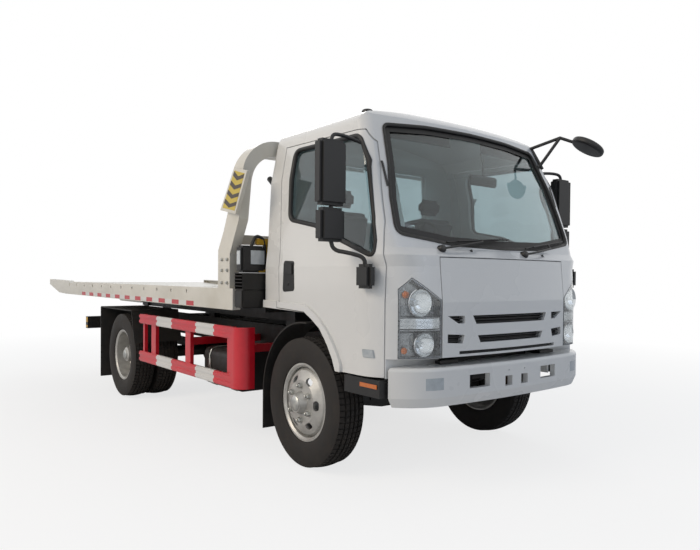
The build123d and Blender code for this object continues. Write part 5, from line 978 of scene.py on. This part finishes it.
# Foot bolts of the gantry's posts: hexagon heads on washers, zinc-plated and screwed through the
# foot of each post.
BOLT_PROFILE = [(-0.002, 0.014), (0.002, 0.014), (0.002, 0.010), (0.009, 0.010), (0.011, 0.008), (0.011, 0)]
shape = bmesh.new()
for side, _ in SIDES:
    for setback in (0.735, 0.822):
        for z in (1.232, 1.325, 1.405):
            turned(shape, BOLT_PROFILE, place_at(setback, side * 1.1445, z), (0, side, 0), 6)
add_piece("gantry_bolts", shape, zinc_plate, "bed")

# Behind the cab: a lamp bar of yellow tube with its cable, a moulded oil container with its gauge
# windows, and below it the side step, folded from sheet, with rods across its opening.
winch_enamel = mottled(
    "yellow_winch_enamel", {"IOR": 1.5, "Coat Weight": 0.3, "Coat Roughness": 0.2},
    ("#b98f1c", "#c99c20", "#d2a82c"), 60.0, (0.35, 0.55), 0.2,
)
hose_rubber = mottled(
    "hydraulic_hose_rubber", {"IOR": 1.5},
    ("#121212", "#1c1b1b"), 10.0, (0.45, 0.6), 0.2,
)
CABLE = (  # setback, y, z
    (0.58, -1.03, 1.50), (0.575, -1.0, 1.578), (0.57, -0.96, 1.572), (0.57, -0.925, 1.54),
    (0.57, -0.922, 1.31),
)
STEP_BLOCKS = (  # two corners, bevel
    ((0.628, -1.138, 1.055), (0.507, -0.951, 1.186), 0.008),
    ((0.628, -1.135, 1.187), (0.507, -0.951, 1.192), 0.001),
    ((0.512, -1.135, 1.192), (0.507, -0.951, 1.304), 0.001),
    ((0.628, -1.135, 1.192), (0.623, -0.951, 1.304), 0.001),
    ((0.628, -1.138, 1.301), (0.507, -0.951, 1.307), 0.001),
)
RODS, LOWEST_ROD, ROD_PITCH = 4, 1.212, 0.024
shape = bmesh.new()
block(shape, place_at(0.600, -0.99, 1.512), place_at(0.560, -0.57, 1.560), 0.006)
block(shape, place_at(0.600, -0.925, 1.32), place_at(0.575, -0.885, 1.512), 0.004)
block(shape, place_at(0.625, -0.985, 1.309), place_at(0.540, -0.60, 1.332), 0.004)
add_piece("lamp_bar", shape, winch_enamel, "chassis")
shape = bmesh.new()
hose(shape, [place_at(*point) for point in CABLE], 0.012, 10, bends=2)
add_piece("lamp_bar_cable", shape, hose_rubber, "chassis")
shape = bmesh.new()
block(shape, place_at(0.628, -1.128, 1.309), place_at(0.535, -0.935, 1.505), 0.016)
add_piece("oil_container", shape, grained_plastic, "chassis")
shape = bmesh.new()
for back, front, bevel in STEP_BLOCKS:
    block(shape, place_at(*back), place_at(*front), bevel)
for number in range(RODS):
    z = LOWEST_ROD + ROD_PITCH * number
    hose(shape, [place_at(0.625, -1.137, z), place_at(0.51, -1.137, z)], 0.0035, 6)
add_piece("side_step", shape, chassis_enamel, "chassis")
shape = bmesh.new()
block(shape, place_at(0.610, -1.131, 1.365), place_at(0.553, -1.124, 1.47), 0.003)
block(shape, place_at(0.540, -1.06, 1.367), place_at(0.532, -0.946, 1.473), 0.003)
add_piece("oil_gauge_window", shape, lamp_glass, "chassis")

# Winch: cast end plates with a drum between them, bolted together and sprayed with one coat of
# yellow enamel.
paint(winch_enamel, "winch")

# Side guards: folded steel rails, bolted to the frame's brackets and sprayed red with two broad
# white lengths.
guard_inputs = {"IOR": 1.5, "Coat Weight": 0.4, "Coat Roughness": 0.12}
guard_enamel, shader = new_finish("striped_guard_enamel", guard_inputs)
ramp, noise = mottle(guard_enamel, shader, ("#c01226", "#cf1428", "#d61a2e"), 200.0, (0.3, 0.42))
place = add_node(guard_enamel, "TexCoord")
axes = add_node(guard_enamel, "SeparateXYZ", {0: place.outputs["Object"]})
WHITE_LENGTHS = ((-2.241, -1.882), (-1.372, -1.033))  # from the front axle
whites = []
for low, high in WHITE_LENGTHS:
    low_x, high_x = FRONT_AXLE_X + low, FRONT_AXLE_X + high
    above = add_node(guard_enamel, "Math", {0: axes.outputs["X"], 1: low_x}, operation="GREATER_THAN")
    below = add_node(guard_enamel, "Math", {0: axes.outputs["X"], 1: high_x}, operation="LESS_THAN")
    inside = {0: above.outputs[0], 1: below.outputs[0]}
    whites.append(add_node(guard_enamel, "Math", inside, operation="MULTIPLY"))
both = add_node(guard_enamel, "Math", {0: whites[0].outputs[0], 1: whites[1].outputs[0]}, operation="ADD")
white_part = add_node(guard_enamel, "ValToRGB", {"Fac": noise.outputs["Fac"]})
for stop, colour in zip(white_part.color_ramp.elements, ("#d6d5d2", "#e0dfdc")):
    stop.color = linear(colour)
colours = {"Color1": ramp.outputs["Color"], "Color2": white_part.outputs["Color"]}
stripes = add_node(guard_enamel, "MixRGB", {"Fac": both.outputs[0], **colours})
guard_enamel.node_tree.links.new(stripes.outputs["Color"], shader.inputs["Base Color"])
paint(guard_enamel, "side_guards")

# Rear beam: a welded box section in the chassis's black, with yellow marks on its ends. Its tail
# lamps are red mouldings with two amber segments on each.
paint(chassis_enamel, "rear_beam")
red_lens = mottled(
    "red_lens", {"IOR": 1.49, "Coat Weight": 0.5, "Coat Roughness": 0.05},
    ("#8e1216", "#a5181c"), 12.0, (0.12, 0.25),
)
paint(red_lens, "tail_lamps")
MARK_HEIGHTS = ((0.648, 0.678), (0.712, 0.772))
SEGMENT_WIDTH = 0.06
shape = bmesh.new()
for side, _ in SIDES:
    for low, high in MARK_HEIGHTS:
        block(shape, place_at(4.636, side * 1.0795, low), place_at(4.565, side * 1.0812, high), 0.0005)
add_piece("beam_end_marks", shape, winch_enamel, "chassis")
for side, side_name in SIDES:
    shape = bmesh.new()
    for start in (0.875, 0.945):
        end = start + SEGMENT_WIDTH
        block(shape, place_at(4.687, side * start, 0.672), place_at(4.684, side * end, 0.748), 0.001)
    add_piece("turn_segment_" + side_name, shape, amber_lens, "chassis")

# The studio: one pale floor that runs out to a white surround, soft lamps, and the photograph's
# camera. The floor keeps the truck's shadow and turns to plain white further out.
floor_mesh = bpy.data.meshes.new("studio_floor")
shape = bmesh.new()
FLOOR_HALF = 60.0
corners = ((-1, -1), (1, -1), (1, 1), (-1, 1))
shape.faces.new([shape.verts.new((x * FLOOR_HALF, y * FLOOR_HALF, 0)) for x, y in corners])
shape.to_mesh(floor_mesh)
shape.free()
floor = bpy.data.objects.new("studio_floor", floor_mesh)
bpy.context.collection.objects.link(floor)
studio_paper, shader = new_finish("studio_paper", {"Specular IOR Level": 0.2})
mottle(studio_paper, shader, ("#ecebe9", "#efeeec"), 900.0, (0.85, 0.95))
links = studio_paper.node_tree.links
place = add_node(studio_paper, "TexCoord")
away = add_node(studio_paper, "VectorMath", {0: place.outputs["Object"]}, operation="LENGTH")
fade = add_node(
    studio_paper, "MapRange",
    {"Value": away.outputs["Value"], "From Min": 1.5, "From Max": 9.0, "To Min": 0.72, "To Max": 1.0},
)
path = add_node(studio_paper, "LightPath")
seen = {0: path.outputs["Is Camera Ray"], 1: path.outputs["Is Transmission Ray"]}
seen = add_node(studio_paper, "Math", seen, operation="MAXIMUM")
share = add_node(studio_paper, "Math", {0: seen.outputs[0], 1: fade.outputs["Result"]}, operation="MULTIPLY")
glow = add_node(studio_paper, "Emission", {"Strength": 1.0})
blend = {"Fac": share.outputs[0], 1: shader.outputs["BSDF"], 2: glow.outputs["Emission"]}
blend = add_node(studio_paper, "MixShader", blend)
links.new(blend.outputs[0], studio_paper.node_tree.nodes["Material Output"].inputs["Surface"])
floor_mesh.materials.append(studio_paper)

world = bpy.data.worlds.new("studio")
bpy.context.scene.world = world
world.use_nodes = True
background = world.node_tree.nodes["Background"]
seen = add_node(world, "LightPath")
direct = {0: seen.outputs["Is Camera Ray"], 1: seen.outputs["Is Glossy Ray"]}
direct = add_node(world, "Math", direct, operation="MAXIMUM")
direct = {0: direct.outputs[0], 1: seen.outputs["Is Transmission Ray"]}
direct = add_node(world, "Math", direct, operation="MAXIMUM")
spread = {"From Min": 0.0, "From Max": 1.0, "To Min": 0.42, "To Max": 1.0}
strength = add_node(world, "MapRange", {"Value": direct.outputs[0], **spread})
sky = {"Fac": direct.outputs[0], "Color1": linear("#dfe9f7"), "Color2": linear("#ffffff")}
sky = add_node(world, "MixRGB", sky)
world.node_tree.links.new(sky.outputs["Color"], background.inputs["Color"])
world.node_tree.links.new(strength.outputs["Result"], background.inputs["Strength"])

LAMPS = (  # name, place, aimed at, width, watts, colour
    ("key", (1.0, -9.0, 6.5), (1.0, 0, 1.0), 5.0, 430.0, "#fff0dc"),
    ("front", (11.0, 1.0, 5.0), (2.5, 0, 1.2), 5.0, 55.0, "#dce8ff"),
    ("rear", (-8.0, 5.0, 7.0), (-1.0, 0, 1.0), 6.0, 220.0, "#ffffff"),
)
for name, place, target, width, watts, colour in LAMPS:
    light = bpy.data.lights.new(name, "AREA")
    light.size = width
    light.energy = watts
    light.color = linear(colour)[:3]
    lamp = bpy.data.objects.new(name, light)
    lamp.location = place
    lamp.rotation_euler = (Vector(target) - Vector(place)).to_track_quat("-Z", "Y").to_euler()
    bpy.context.collection.objects.link(lamp)

PICTURE = (700, 550)
FOCAL_PIXELS = 646.4
CENTRE_PIXEL = (390.1, 288.4)
CAMERA_PLACE = (6.2355, -3.287, 1.285)
CAMERA_RIGHT = Vector((0.64330, 0.76555, 0.00977))
CAMERA_UP = Vector((-0.01938, 0.00352, 0.99981))
CAMERA_BACK = Vector((0.76537, -0.64336, 0.01710))
camera_data = bpy.data.cameras.new("photo_camera")
camera_data.sensor_width = 36.0
camera_data.lens = FOCAL_PIXELS * camera_data.sensor_width / PICTURE[0]
camera_data.shift_x = (PICTURE[0] / 2 - CENTRE_PIXEL[0]) / PICTURE[0]
camera_data.shift_y = (CENTRE_PIXEL[1] - PICTURE[1] / 2) / PICTURE[0]
camera = bpy.data.objects.new("photo_camera", camera_data)
turn = Matrix((CAMERA_RIGHT, CAMERA_UP, CAMERA_BACK)).transposed().to_4x4()
camera.matrix_world = Matrix.Translation(CAMERA_PLACE) @ turn
bpy.context.collection.objects.link(camera)
bpy.context.scene.camera = camera
bpy.context.scene.view_settings.view_transform = "Standard"
